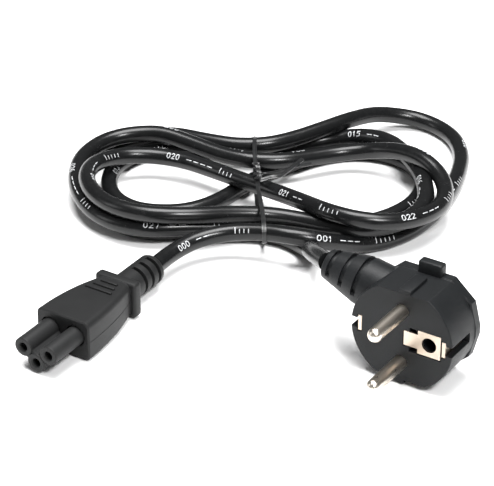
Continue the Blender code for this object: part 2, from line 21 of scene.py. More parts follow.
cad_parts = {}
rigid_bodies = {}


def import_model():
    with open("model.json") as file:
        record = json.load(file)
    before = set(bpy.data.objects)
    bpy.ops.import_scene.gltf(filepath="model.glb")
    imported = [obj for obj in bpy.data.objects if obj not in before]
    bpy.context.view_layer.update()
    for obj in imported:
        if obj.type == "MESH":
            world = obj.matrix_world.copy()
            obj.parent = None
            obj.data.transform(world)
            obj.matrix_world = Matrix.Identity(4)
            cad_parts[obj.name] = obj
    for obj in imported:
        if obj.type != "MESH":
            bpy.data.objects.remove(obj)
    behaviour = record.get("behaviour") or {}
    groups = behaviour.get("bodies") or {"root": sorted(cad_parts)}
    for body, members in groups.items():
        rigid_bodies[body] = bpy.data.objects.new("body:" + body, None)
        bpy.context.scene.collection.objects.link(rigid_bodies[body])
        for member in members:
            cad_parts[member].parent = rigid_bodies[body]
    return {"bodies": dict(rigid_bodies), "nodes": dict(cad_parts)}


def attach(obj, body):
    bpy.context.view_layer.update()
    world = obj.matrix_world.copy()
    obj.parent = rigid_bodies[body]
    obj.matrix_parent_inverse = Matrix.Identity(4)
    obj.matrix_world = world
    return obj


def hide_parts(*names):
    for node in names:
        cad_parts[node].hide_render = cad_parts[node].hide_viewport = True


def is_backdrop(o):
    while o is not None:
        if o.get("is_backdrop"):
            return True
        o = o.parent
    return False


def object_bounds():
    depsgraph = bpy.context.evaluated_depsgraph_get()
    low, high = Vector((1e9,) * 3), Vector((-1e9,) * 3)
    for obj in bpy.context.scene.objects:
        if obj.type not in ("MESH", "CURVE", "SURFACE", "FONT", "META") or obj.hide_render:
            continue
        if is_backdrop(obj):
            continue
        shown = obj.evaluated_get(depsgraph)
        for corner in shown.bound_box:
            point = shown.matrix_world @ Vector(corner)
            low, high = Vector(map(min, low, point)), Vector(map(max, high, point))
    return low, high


for default in list(bpy.data.objects):
    bpy.data.objects.remove(default, do_unlink=True)
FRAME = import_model()
CAD_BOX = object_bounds()

MM = 0.001
BODY = next(iter(FRAME["bodies"]))
LOG = logging.getLogger("power_cord")
SHARP_ANGLE = math.radians(32.0)
FLAT_ANGLE = math.radians(0.5)
WELD = 0.01 * MM

# Where the two fixtures stand: the middle of each one's front face, and the way both point.
FIXTURE_YAW = math.radians(-33.0)
PLUG_AT = Vector((0.0490, -0.0230, 0.0180))
CONNECTOR_AT = Vector((-0.0594, -0.0045, 0.0072))

# The cord's centre line, from the connector's boot round the loops to the plug's strain relief.
CORD_D = 6.1 * MM
CORD_ROUTE = (
    (-0.0321, 0.0372, 0.0072), (-0.0258, 0.0474, 0.0072), (-0.0172, 0.0551, 0.0083),
    (-0.0057, 0.0582, 0.0095), (0.0062, 0.0560, 0.0109), (0.0153, 0.0527, 0.0114),
    (0.0233, 0.0520, 0.0103), (0.0307, 0.0548, 0.0074), (0.0386, 0.0593, 0.0042),
    (0.0488, 0.0639, 0.0030), (0.0581, 0.0711, 0.0030), (0.0653, 0.0807, 0.0031),
    (0.0707, 0.0914, 0.0030), (0.0750, 0.1026, 0.0030), (0.0783, 0.1142, 0.0031),
    (0.0803, 0.1268, 0.0030), (0.0790, 0.1396, 0.0030), (0.0740, 0.1493, 0.0031),
    (0.0665, 0.1549, 0.0039), (0.0575, 0.1555, 0.0055), (0.0482, 0.1519, 0.0077),
    (0.0389, 0.1436, 0.0096), (0.0288, 0.1362, 0.0096), (0.0186, 0.1297, 0.0092),
    (0.0081, 0.1246, 0.0092), (-0.0033, 0.1246, 0.0088), (-0.0148, 0.1286, 0.0086),
    (-0.0261, 0.1343, 0.0080), (-0.0357, 0.1377, 0.0059), (-0.0447, 0.1376, 0.0040),
    (-0.0524, 0.1329, 0.0031), (-0.0580, 0.1243, 0.0030), (-0.0601, 0.1123, 0.0030),
    (-0.0583, 0.0994, 0.0030), (-0.0544, 0.0877, 0.0031), (-0.0477, 0.0779, 0.0031),
    (-0.0380, 0.0712, 0.0031), (-0.0267, 0.0703, 0.0030), (-0.0153, 0.0741, 0.0030),
    (-0.0038, 0.0770, 0.0031), (0.0081, 0.0767, 0.0031), (0.0200, 0.0750, 0.0030),
    (0.0320, 0.0744, 0.0030), (0.0436, 0.0767, 0.0031), (0.0536, 0.0830, 0.0031),
    (0.0613, 0.0930, 0.0030), (0.0646, 0.1052, 0.0030), (0.0628, 0.1162, 0.0030),
    (0.0573, 0.1247, 0.0030), (0.0485, 0.1297, 0.0030), (0.0376, 0.1306, 0.0031),
    (0.0257, 0.1265, 0.0030), (0.0152, 0.1194, 0.0030), (0.0061, 0.1115, 0.0031),
    (-0.0019, 0.1023, 0.0031), (-0.0102, 0.0922, 0.0030), (-0.0203, 0.0854, 0.0030),
    (-0.0308, 0.0839, 0.0031), (-0.0402, 0.0868, 0.0030), (-0.0470, 0.0941, 0.0031),
    (-0.0500, 0.1048, 0.0031), (-0.0487, 0.1167, 0.0031), (-0.0417, 0.1273, 0.0030),
    (-0.0310, 0.1324, 0.0030), (-0.0191, 0.1323, 0.0031), (-0.0071, 0.1304, 0.0031),
    (0.0049, 0.1301, 0.0030), (0.0165, 0.1339, 0.0030), (0.0270, 0.1382, 0.0032),
    (0.0368, 0.1389, 0.0046), (0.0456, 0.1354, 0.0068), (0.0538, 0.1281, 0.0083),
    (0.0596, 0.1173, 0.0081), (0.0628, 0.1057, 0.0087), (0.0644, 0.0938, 0.0091),
    (0.0637, 0.0818, 0.0090), (0.0589, 0.0711, 0.0090), (0.0498, 0.0635, 0.0090),
    (0.0386, 0.0613, 0.0089), (0.0280, 0.0655, 0.0082), (0.0176, 0.0705, 0.0080),
    (0.0060, 0.0716, 0.0090), (-0.0056, 0.0694, 0.0105), (-0.0170, 0.0658, 0.0121),
    (-0.0287, 0.0642, 0.0130), (-0.0401, 0.0671, 0.0129), (-0.0495, 0.0743, 0.0127),
    (-0.0556, 0.0846, 0.0130), (-0.0571, 0.0964, 0.0127), (-0.0535, 0.1075, 0.0111),
    (-0.0450, 0.1150, 0.0095), (-0.0335, 0.1165, 0.0087), (-0.0222, 0.1126, 0.0087),
    (-0.0124, 0.1057, 0.0088), (-0.0029, 0.0982, 0.0090), (0.0067, 0.0912, 0.0090),
    (0.0153, 0.0832, 0.0099), (0.0219, 0.0735, 0.0123), (0.0290, 0.0641, 0.0144),
    (0.0390, 0.0586, 0.0145), (0.0505, 0.0590, 0.0132), (0.0608, 0.0650, 0.0118),
    (0.0683, 0.0749, 0.0103), (0.0712, 0.0859, 0.0101), (0.0698, 0.0960, 0.0116),
    (0.0641, 0.1044, 0.0137), (0.0562, 0.1127, 0.0126), (0.0470, 0.1196, 0.0093),
    (0.0361, 0.1209, 0.0076), (0.0248, 0.1171, 0.0078), (0.0137, 0.1125, 0.0087),
    (0.0022, 0.1124, 0.0090), (-0.0086, 0.1171, 0.0089), (-0.0192, 0.1237, 0.0097),
    (-0.0305, 0.1297, 0.0108), (-0.0406, 0.1311, 0.0102), (-0.0495, 0.1289, 0.0095),
    (-0.0564, 0.1224, 0.0090), (-0.0608, 0.1123, 0.0087), (-0.0614, 0.0993, 0.0083),
    (-0.0587, 0.0870, 0.0075), (-0.0530, 0.0766, 0.0068), (-0.0441, 0.0688, 0.0067),
    (-0.0330, 0.0653, 0.0070), (-0.0213, 0.0666, 0.0067), (-0.0096, 0.0691, 0.0050),
    (0.0023, 0.0696, 0.0033), (0.0134, 0.0659, 0.0030), (0.0208, 0.0572, 0.0039),
    (0.0231, 0.0466, 0.0080), (0.0223, 0.0365, 0.0146), (0.0216, 0.0263, 0.0209),
    (0.0227, 0.0155, 0.0258), (0.0263, 0.0046, 0.0292),
)


class Slot(Enum):
    """The record's material slots, listed with the new pieces."""

    PLUG = "plug_plastic"
    CONNECTOR = "connector_plastic"
    NOSE = "nose_plastic"
    CORD = "cord_pvc"
    TIE = "tie_plastic"


class Join(Enum):
    """How a shape is put into a moulding."""

    ADD = "UNION"
    CUT = "DIFFERENCE"


# Shader maths.


@dataclass(frozen=True)
class Signal:
    """A number, colour or vector that runs through a finish's nodes, with Python's arithmetic."""

    finish: "Finish"
    socket: bpy.types.NodeSocket

    def _math(
        self, operation: str, first: "Signal | float", second: "Signal | float"
    ) -> "Signal":
        """One step of arithmetic.

        Args:
            operation: the Math node's operation.
            first: its first input.
            second: its second input.
        Returns:
            The step's result.
        """
        sockets = {0: first, 1: second}
        return self.finish.node("ShaderNodeMath", {"operation": operation}, sockets)

    def __add__(self, other: "Signal | float") -> "Signal":
        """The sum of two values."""
        return self._math("ADD", self, other)

    def __radd__(self, other: float) -> "Signal":
        """The sum of a number and this value."""
        return self._math("ADD", other, self)

    def __sub__(self, other: "Signal | float") -> "Signal":
        """The difference of two values."""
        return self._math("SUBTRACT", self, other)

    def __rsub__(self, other: float) -> "Signal":
        """A number less this value."""
        return self._math("SUBTRACT", other, self)

    def __mul__(self, other: "Signal | float") -> "Signal":
        """The product of two values."""
        return self._math("MULTIPLY", self, other)

    def __rmul__(self, other: float) -> "Signal":
        """The product of a number and this value."""
        return self._math("MULTIPLY", other, self)

    def between(self, low: float, high: float) -> "Signal":
        """Reads this value on a scale.

        Args:
            low: the value that becomes 0.
            high: the value that becomes 1.
        Returns:
            The place on the scale, clamped to 0 and 1.
        """
        sockets = {"Value": self, "From Min": low, "From Max": high}
        return self.finish.node("ShaderNodeMapRange", None, sockets, "Result")


class Finish:
    """A material being built round one Principled shader."""

    def __init__(self, name: str) -> None:
        """Starts an empty material.

        Args:
            name: the material's name.
        """
        self.material = bpy.data.materials.new(name)
        self.material.use_nodes = True
        self.tree = self.material.node_tree
        self.shader = self.tree.nodes["Principled BSDF"]

    def _feed(
        self, socket: bpy.types.NodeSocket, value: "Signal | float | Sequence[float]"
    ) -> None:
        """Links or sets one input.

        Args:
            socket: the input.
            value: what goes into it, a signal or a constant.
        """
        if isinstance(value, Signal):
            self.tree.links.new(value.socket, socket)
        else:
            socket.default_value = value

    def node(
        self,
        kind: str,
        settings: Mapping[str, object] | None = None,
        sockets: Mapping[str | int, object] | None = None,
        output: str | int = 0,
    ) -> Signal:
        """Adds any node.

        Args:
            kind: the node's type.
            settings: its properties, set first.
            sockets: values or signals for its inputs, by name or number.
            output: the output that is wanted.
        Returns:
            That output as a signal.
        """
        made = self.tree.nodes.new(kind)
        for key, value in (settings or {}).items():
            setattr(made, key, value)
        for key, value in (sockets or {}).items():
            self._feed(made.inputs[key], value)
        return Signal(self, made.outputs[output])

    def place(self) -> Signal:
        """A point of the surface in the piece's own space, in metres."""
        return self.node("ShaderNodeTexCoord", output="Object")

    def stretched(self, vector: Signal, scale: Sequence[float]) -> Signal:
        """The vector with each axis scaled."""
        sockets = {0: vector, 1: scale}
        return self.node("ShaderNodeVectorMath", {"operation": "MULTIPLY"}, sockets)

    def noise(
        self, vector: Signal, scale: float, detail: float = 3.0, rough: float = 0.5
    ) -> Signal:
        """Soft noise from 0 to 1.

        Args:
            vector: where it is read.
            scale: lumps to the metre.
            detail: octaves.
            rough: how strong the fine octaves are.
        Returns:
            The noise.
        """
        sockets = {"Vector": vector, "Scale": scale, "Detail": detail, "Roughness": rough}
        return self.node("ShaderNodeTexNoise", None, sockets)

    def mix(
        self,
        share: Signal,
        first: "Signal | Sequence[float]",
        second: "Signal | Sequence[float]",
    ) -> Signal:
        """Blends two colours.

        Args:
            share: how much of the second shows.
            first: the colour at 0.
            second: the colour at 1.
        Returns:
            The blended colour.
        """
        sockets = {0: share, 6: first, 7: second}
        return self.node("ShaderNodeMix", {"data_type": "RGBA"}, sockets, 2)

    def bump(self, height: Signal, depth: float, edge: float = 0.0) -> Signal:
        """Relief from a height.

        Args:
            height: the height, from 0 to 1.
            depth: how deep it is, in metres.
            edge: the radius that sharp edges are worn to, in metres.
        Returns:
            The normal.
        """
        sockets = {"Height": height, "Strength": 1.0, "Distance": depth}
        if edge > 0.0:
            sockets["Normal"] = self.node("ShaderNodeBevel", {"samples": 6}, {"Radius": edge})
        return self.node("ShaderNodeBump", None, sockets)

    def done(self, **inputs: "Signal | float | Sequence[float]") -> bpy.types.Material:
        """Sets the shader's own inputs.

        Args:
            inputs: values by socket name, with underscores for the spaces.
        Returns:
            The finished material.
        """
        for name, value in inputs.items():
            self._feed(self.shader.inputs[name.replace("_", " ")], value)
        return self.material


def rgba(red: float, green: float, blue: float) -> tuple[float, float, float, float]:
    """An opaque colour."""
    return (red, green, blue, 1.0)


def grey(value: float, warmth: float = 0.0) -> tuple[float, float, float, float]:
    """A near grey, a little warm or cool."""
    return rgba(value * (1 + warmth), value, value * (1 - warmth))


# Finishes.


@dataclass(frozen=True)
class CordJacket:
    """Glossy black PVC with a slightly uneven skin, as drawn over three twisted cores."""

    tone: float = 0.006
    gloss: float = 0.24
    shine: float = 0.32
    unevenness: float = 0.07 * MM

    def material(self) -> bpy.types.Material:
        """Builds the material.

        Returns:
            The finished material.
        """
        finish = Finish("black_pvc_jacket")
        place = finish.place()
        waves = finish.noise(place, 95.0, 2.0)
        grain = finish.noise(place, 2600.0, 2.0)
        dust = finish.noise(place, 420.0, 5.0, 0.7).between(0.52, 0.8)
        colour = finish.mix(dust, grey(self.tone, -0.05), grey(self.tone * 2.1, -0.02))
        rough = self.gloss + waves.between(0.3, 0.75) * 0.03 + dust * 0.03
        normal = finish.bump(waves * 0.9 + grain * 0.1, self.unevenness)
        return finish.done(
            Base_Color=colour, Roughness=rough, Normal=normal, Specular_IOR_Level=self.shine
        )


@dataclass(frozen=True)
class PrintInk:
    """White printed marks, a little worn."""

    fresh: float = 0.62
    faded: float = 0.2

    def material(self) -> bpy.types.Material:
        """Builds the material.

        Returns:
            The finished material.
        """
        finish = Finish("white_ink")
        worn = finish.noise(finish.place(), 1500.0, 3.0, 0.7).between(0.46, 0.66)
        colour = finish.mix(worn, grey(self.fresh, -0.02), grey(self.faded, -0.03))
        return finish.done(Base_Color=colour, Roughness=0.45 + worn * 0.2)


@dataclass(frozen=True)
class MouldedPlastic:
    """Satin moulded plastic with a fine spark texture and softly rounded edges."""

    name: str
    tone: float
    coolness: float
    gloss: float
    spark: float
    edge: float = 0.25 * MM
    shine: float = 0.2

    def material(self) -> bpy.types.Material:
        """Builds the material.

        Returns:
            The finished material.
        """
        finish = Finish(self.name)
        place = finish.place()
        cloud = finish.noise(place, 130.0, 4.0, 0.6)
        spark = finish.noise(place, 3800.0, 2.0, 0.6)
        drawn = finish.stretched(place, (1.0, 1.0, 4.0))
        scuff = finish.noise(drawn, 700.0, 6.0, 0.75).between(0.62, 0.78)
        shade = cloud.between(0.3, 0.7) * 0.7 + spark.between(0.35, 0.65) * 0.3
        dark, light, rubbed = (
            grey(self.tone * share, -self.coolness) for share in (0.86, 1.14, 1.9)
        )
        colour = finish.mix(scuff * 0.35, finish.mix(shade, dark, light), rubbed)
        rough = self.gloss + spark.between(0.3, 0.7) * 0.1 - scuff * 0.08
        normal = finish.bump(spark, self.spark, self.edge)
        return finish.done(
            Base_Color=colour, Roughness=rough, Normal=normal, Specular_IOR_Level=self.shine
        )


@dataclass(frozen=True)
class NickelPlate:
    """Bright nickel over brass, turned, with a faint warm cast and fine rub marks."""

    name: str
    tint: tuple[float, float, float]
    gloss: float

    def material(self) -> bpy.types.Material:
        """Builds the material.

        Returns:
            The finished material.
        """
        finish = Finish(self.name)
        place = finish.place()
        rubs = finish.noise(finish.stretched(place, (1.0, 1.0, 8.0)), 900.0, 4.0, 0.6)
        stain = finish.noise(place, 170.0, 3.0).between(0.4, 0.75)
        dull = tuple(0.86 * value for value in self.tint)
        colour = finish.mix(stain, rgba(*self.tint), rgba(*dull))
        rough = self.gloss + rubs.between(0.35, 0.7) * 0.03 + stain * 0.04
        return finish.done(Base_Color=colour, Metallic=1.0, Roughness=rough)


@dataclass(frozen=True)
class FloorPaper:
    """Plain white studio paper."""

    tone: float = 0.94

    def material(self) -> bpy.types.Material:
        """Builds the material.

        Returns:
            The finished material.
        """
        finish = Finish("white_paper")
        grain = finish.noise(finish.place(), 900.0, 3.0)
        colour = finish.mix(grain, grey(self.tone * 0.995), grey(self.tone))
        return finish.done(Base_Color=colour, Roughness=0.85, Specular_IOR_Level=0.1)


# Shapes.


class Shape:
    """A mesh under construction, in metres in its own frame."""

    def __init__(self) -> None:
        """Starts an empty mesh."""
        self.bm = bmesh.new()

    @classmethod
    def box(
        cls, size: Sequence[float], centre: Sequence[float], edge: float = 0.0, steps: int = 3
    ) -> "Shape":
        """A box with rounded edges.

        Args:
            size: its three sides.
            centre: its middle.
            edge: the radius of its edges.
            steps: segments in each rounded edge.
        Returns:
            The shape.
        """
        shape = cls()
        bmesh.ops.create_cube(shape.bm, size=1.0)
        bmesh.ops.scale(shape.bm, vec=Vector(size), verts=shape.bm.verts)
        if edge > 0.0:
            edges = list(shape.bm.edges)
            bmesh.ops.bevel(
                shape.bm, geom=edges, offset=edge, segments=steps, profile=0.5, affect="EDGES"
            )
        bmesh.ops.translate(shape.bm, vec=Vector(centre), verts=shape.bm.verts)
        return shape

    @classmethod
    def turned(cls, profile: Sequence[Sequence[float]], steps: int = 96) -> "Shape":
        """A profile turned about local Z.

        Args:
            profile: (radius, height) points; a radius of 0 closes the end.
            steps: sides of the round.
        Returns:
            The shape.
        """
        shape = cls()
        rings: list[list[bmesh.types.BMVert]] = []
        for radius, height in profile:
            if radius <= 0.0:
                rings.append([shape.bm.verts.new((0.0, 0.0, height))])
                continue
            turns = (math.tau * step / steps for step in range(steps))
            around = [(radius * math.cos(turn), radius * math.sin(turn), height) for turn in turns]
            rings.append([shape.bm.verts.new(point) for point in around])
        for first, second in zip(rings, rings[1:]):
            shape.bridge(first, second, steps)
        bmesh.ops.recalc_face_normals(shape.bm, faces=shape.bm.faces)
        return shape

    def bridge(
        self, first: list[bmesh.types.BMVert], second: list[bmesh.types.BMVert], steps: int
    ) -> None:
        """Joins two rings, either of which may be a single point.

        Args:
            first: one ring.
            second: the next ring.
            steps: sides of the round.
        """
        for i in range(steps):
            j = (i + 1) % steps
            corners = [first[i % len(first)], first[j % len(first)]]
            corners += [second[j % len(second)], second[i % len(second)]]
            unique = list(dict.fromkeys(corners))
            if len(unique) > 2:
                self.bm.faces.new(unique)

    @classmethod
    def skin(cls, loops: Sequence[Sequence[Sequence[float]]]) -> "Shape":
        """Faces between loops of equal length, and one across each end.

        Args:
            loops: the loops, in order.
        Returns:
            The shape.
        """
        shape = cls()
        rings = [[shape.bm.verts.new(point) for point in loop] for loop in loops]
        for first, second in zip(rings, rings[1:]):
            shape.bridge(first, second, len(first))
        shape.close(rings[0], rings[-1])
        bmesh.ops.recalc_face_normals(shape.bm, faces=shape.bm.faces)
        return shape

    def close(self, first: list[bmesh.types.BMVert], last: list[bmesh.types.BMVert]) -> None:
        """Closes the two ends of a skin.

        Args:
            first: the ring at its start.
            last: the ring at its end.
        """
        self.bm.faces.new(list(reversed(first)))
        self.bm.faces.new(last)

    @classmethod
    def arc(
        cls,
        radii: Sequence[float],
        heights: Sequence[float],
        start: float,
        sweep: float,
        steps: int = 28,
    ) -> "Shape":
        """A ring sector about local Z, for cutting a slot in a round piece.

        Args:
            radii: the inner and outer radius.
            heights: its lower and upper height.
            start: where it starts, in degrees.
            sweep: how far it goes, in degrees.
            steps: sections along it.
        Returns:
            The shape.
        """
        (inner, outer), (low, high) = radii, heights
        corners = [(inner, low), (outer, low), (outer, high), (inner, high)]
        loops = []
        for step in range(steps + 1):
            angle = math.radians(start + sweep * step / steps)
            loops.append([(r * math.cos(angle), r * math.sin(angle), z) for r, z in corners])
        return cls.skin(loops)

    def moved(self, matrix: Matrix) -> "Shape":
        """The same shape, carried by a matrix."""
        bmesh.ops.transform(self.bm, matrix=matrix, verts=self.bm.verts)
        return self

    def object(self, name: str, material: bpy.types.Material | None = None) -> bpy.types.Object:
        """Makes the object.

        Args:
            name: its name.
            material: its finish.
        Returns:
            The object, in the scene.
        """
        mesh = bpy.data.meshes.new(name)
        self.bm.to_mesh(mesh)
        self.bm.free()
        mesh.shade_smooth()
        mesh.set_sharp_from_angle(angle=SHARP_ANGLE)
        if material:
            mesh.materials.append(material)
        made = bpy.data.objects.new(name, mesh)
        bpy.context.scene.collection.objects.link(made)
        return made


def rounded_rectangle(
    width: float, height: float, corner: float, z: float, steps: int = 8
) -> list[tuple[float, float, float]]:
    """The points of a rounded rectangle.

    Args:
        width: its side along X.
        height: its side along Y.
        corner: the radius of its corners.
        z: its height.
        steps: segments in each corner.
    Returns:
        The points, anticlockwise.
    """
    points = []
    for index, (sx, sy) in enumerate(((1, 1), (-1, 1), (-1, -1), (1, -1))):
        x, y = sx * (width / 2 - corner), sy * (height / 2 - corner)
        for step in range(steps + 1):
            angle = math.radians(90.0) * (index + step / steps)
            points.append((x + corner * math.cos(angle), y + corner * math.sin(angle), z))
    return points


def dome(radius: float, top: float, edge: float, steps: int = 5) -> list[tuple[float, float]]:
    """The rounded upper corner of a turned profile, from its flat top to its side.

    Args:
        radius: the piece's radius.
        top: the height of its top.
        edge: the corner's radius.
        steps: segments in the corner.
    Returns:
        (radius, height) points, top first.
    """
    angles = [math.radians(90.0) * step / steps for step in range(steps + 1)]
    return [(radius - edge * (1 - math.sin(a)), top - edge * (1 - math.cos(a))) for a in angles]


@dataclass
class Moulding:
    """A plastic body made of shapes that are joined and cut, in a fixture's own frame."""

    name: str
    place: Matrix
    base: Shape
    steps: list[tuple[Join, Shape]] = field(default_factory=list)

    def add(self, *shapes: Shape) -> None:
        """Joins shapes to the body."""
        self.steps += [(Join.ADD, shape) for shape in shapes]

    def cut(self, *shapes: Shape) -> None:
        """Cuts shapes out of the body."""
        self.steps += [(Join.CUT, shape) for shape in shapes]

    def build(self, material: bpy.types.Material) -> bpy.types.Object:
        """Works the steps and puts the body in place.

        Args:
            material: its finish.
        Returns:
            The body.
        """
        body = self.base.object(self.name + "_work")
        tools = []
        for index, (join, shape) in enumerate(self.steps):
            tool = shape.object(f"{self.name}_tool_{index}")
            modifier = body.modifiers.new(tool.name, "BOOLEAN")
            modifier.operation = join.value
            modifier.object = tool
            tools.append(tool)
        bpy.context.view_layer.update()
        graph = bpy.context.evaluated_depsgraph_get()
        mesh = bpy.data.meshes.new_from_object(body.evaluated_get(graph))
        for used in [body, *tools]:
            bpy.data.objects.remove(used, do_unlink=True)
        shape = Shape()
        shape.bm.from_mesh(mesh)
        bpy.data.meshes.remove(mesh)
        bmesh.ops.remove_doubles(shape.bm, verts=shape.bm.verts, dist=WELD)
        bmesh.ops.dissolve_limit(
            shape.bm, angle_limit=FLAT_ANGLE, verts=shape.bm.verts, edges=shape.bm.edges
        )
        return shape.moved(self.place).object(self.name, material)


def fixture_place(at: Vector) -> Matrix:
    """A fixture's frame: local X to its right, Y up, Z the way its contacts point."""
    turn = Matrix.Rotation(FIXTURE_YAW, 4, "Z") @ Matrix.Rotation(math.radians(90.0), 4, "X")
    return Matrix.Translation(at) @ turn


def ride(piece: bpy.types.Object, slot: Slot, *nodes: str) -> bpy.types.Object:
    """Puts a finished piece on the body and hides the CAD nodes that it stands for.

    Args:
        piece: the piece.
        slot: the record's slot of its finish; not used.
        nodes: the CAD nodes that it replaces.
    Returns:
        The piece.
    """
    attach(piece, BODY)
    if nodes:
        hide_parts(*nodes)
    return piece


# The lead.


def smooth_line(
    before: Sequence[float], points: np.ndarray, after: Sequence[float], parts: int
) -> list[np.ndarray]:
    """A Catmull-Rom curve through points, up to the last one but without it.

    Args:
        before: where the point before the first would be.
        points: the points that it passes through.
        after: where the point after the last would be.
        parts: steps from each point to the next.
    Returns:
        The curve's points.
    """
    route = np.vstack([before, points, after])
    found = []
    for i in range(1, len(route) - 2):
        p0, p1, p2, p3 = route[i - 1 : i + 3]
        for part in range(parts):
            t = part / parts
            bend = (2 * p0 - 5 * p1 + 4 * p2 - p3) * t**2 + (3 * p1 - p0 - 3 * p2 + p3) * t**3
            found.append(0.5 * (2 * p1 + (p2 - p0) * t + bend))
    return found


@dataclass
class Route:
    """The cord's centre line as close points, each with a frame that stands up from the floor."""

    points: Sequence[Sequence[float]]
    parts: int = 12
    fairing: int = 14
    line: np.ndarray = field(init=False)
    along: np.ndarray = field(init=False)
    ahead: np.ndarray = field(init=False)
    up: np.ndarray = field(init=False)
    side: np.ndarray = field(init=False)

    def __post_init__(self) -> None:
        """Works out the line and its frames."""
        self.line = self._faired(self._through())
        steps = np.linalg.norm(np.diff(self.line, axis=0), axis=1)
        self.along = np.concatenate([[0.0], np.cumsum(steps)])
        self.ahead = self._unit(np.gradient(self.line, axis=0))
        floor_up = np.array([0.0, 0.0, 1.0])
        self.up = self._unit(floor_up - self.ahead * (self.ahead @ floor_up)[:, None])
        self.side = np.cross(self.ahead, self.up)

    @staticmethod
    def _unit(vectors: np.ndarray) -> np.ndarray:
        """The vectors at length one."""
        return vectors / np.linalg.norm(vectors, axis=1)[:, None]

    def _through(self) -> np.ndarray:
        """A Catmull-Rom curve through the route's points."""
        given = np.array(self.points)
        before, after = 2 * given[0] - given[1], 2 * given[-1] - given[-2]
        return np.array([*smooth_line(before, given, after, self.parts), given[-1]])

    def _faired(self, line: np.ndarray) -> np.ndarray:
        """Evens out small changes of curvature, as a stiff cord lies.

        Args:
            line: the curve through the given points.
        Returns:
            The evened line.
        """
        for _ in range(self.fairing):
            line[1:-1] = 0.25 * line[:-2] + 0.5 * line[1:-1] + 0.25 * line[2:]
        return line

    @property
    def length(self) -> float:
        """How long the cord is."""
        return float(self.along[-1])

    def at(self, distance: np.ndarray, angle: np.ndarray, radius: float) -> np.ndarray:
        """Points on a round jacket about the line.

        Args:
            distance: how far along the cord, for each point.
            angle: how far round it from its top, in radians, towards the side.
            radius: how far from the centre line.
        Returns:
            The points.
        """

        def read(values: np.ndarray) -> np.ndarray:
            """One array of vectors, read at the distances."""
            return np.stack([np.interp(distance, self.along, axis) for axis in values.T], -1)

        upward = read(self.up) * np.cos(angle)[..., None]
        sideways = read(self.side) * np.sin(angle)[..., None]
        return read(self.line) + (upward + sideways) * radius


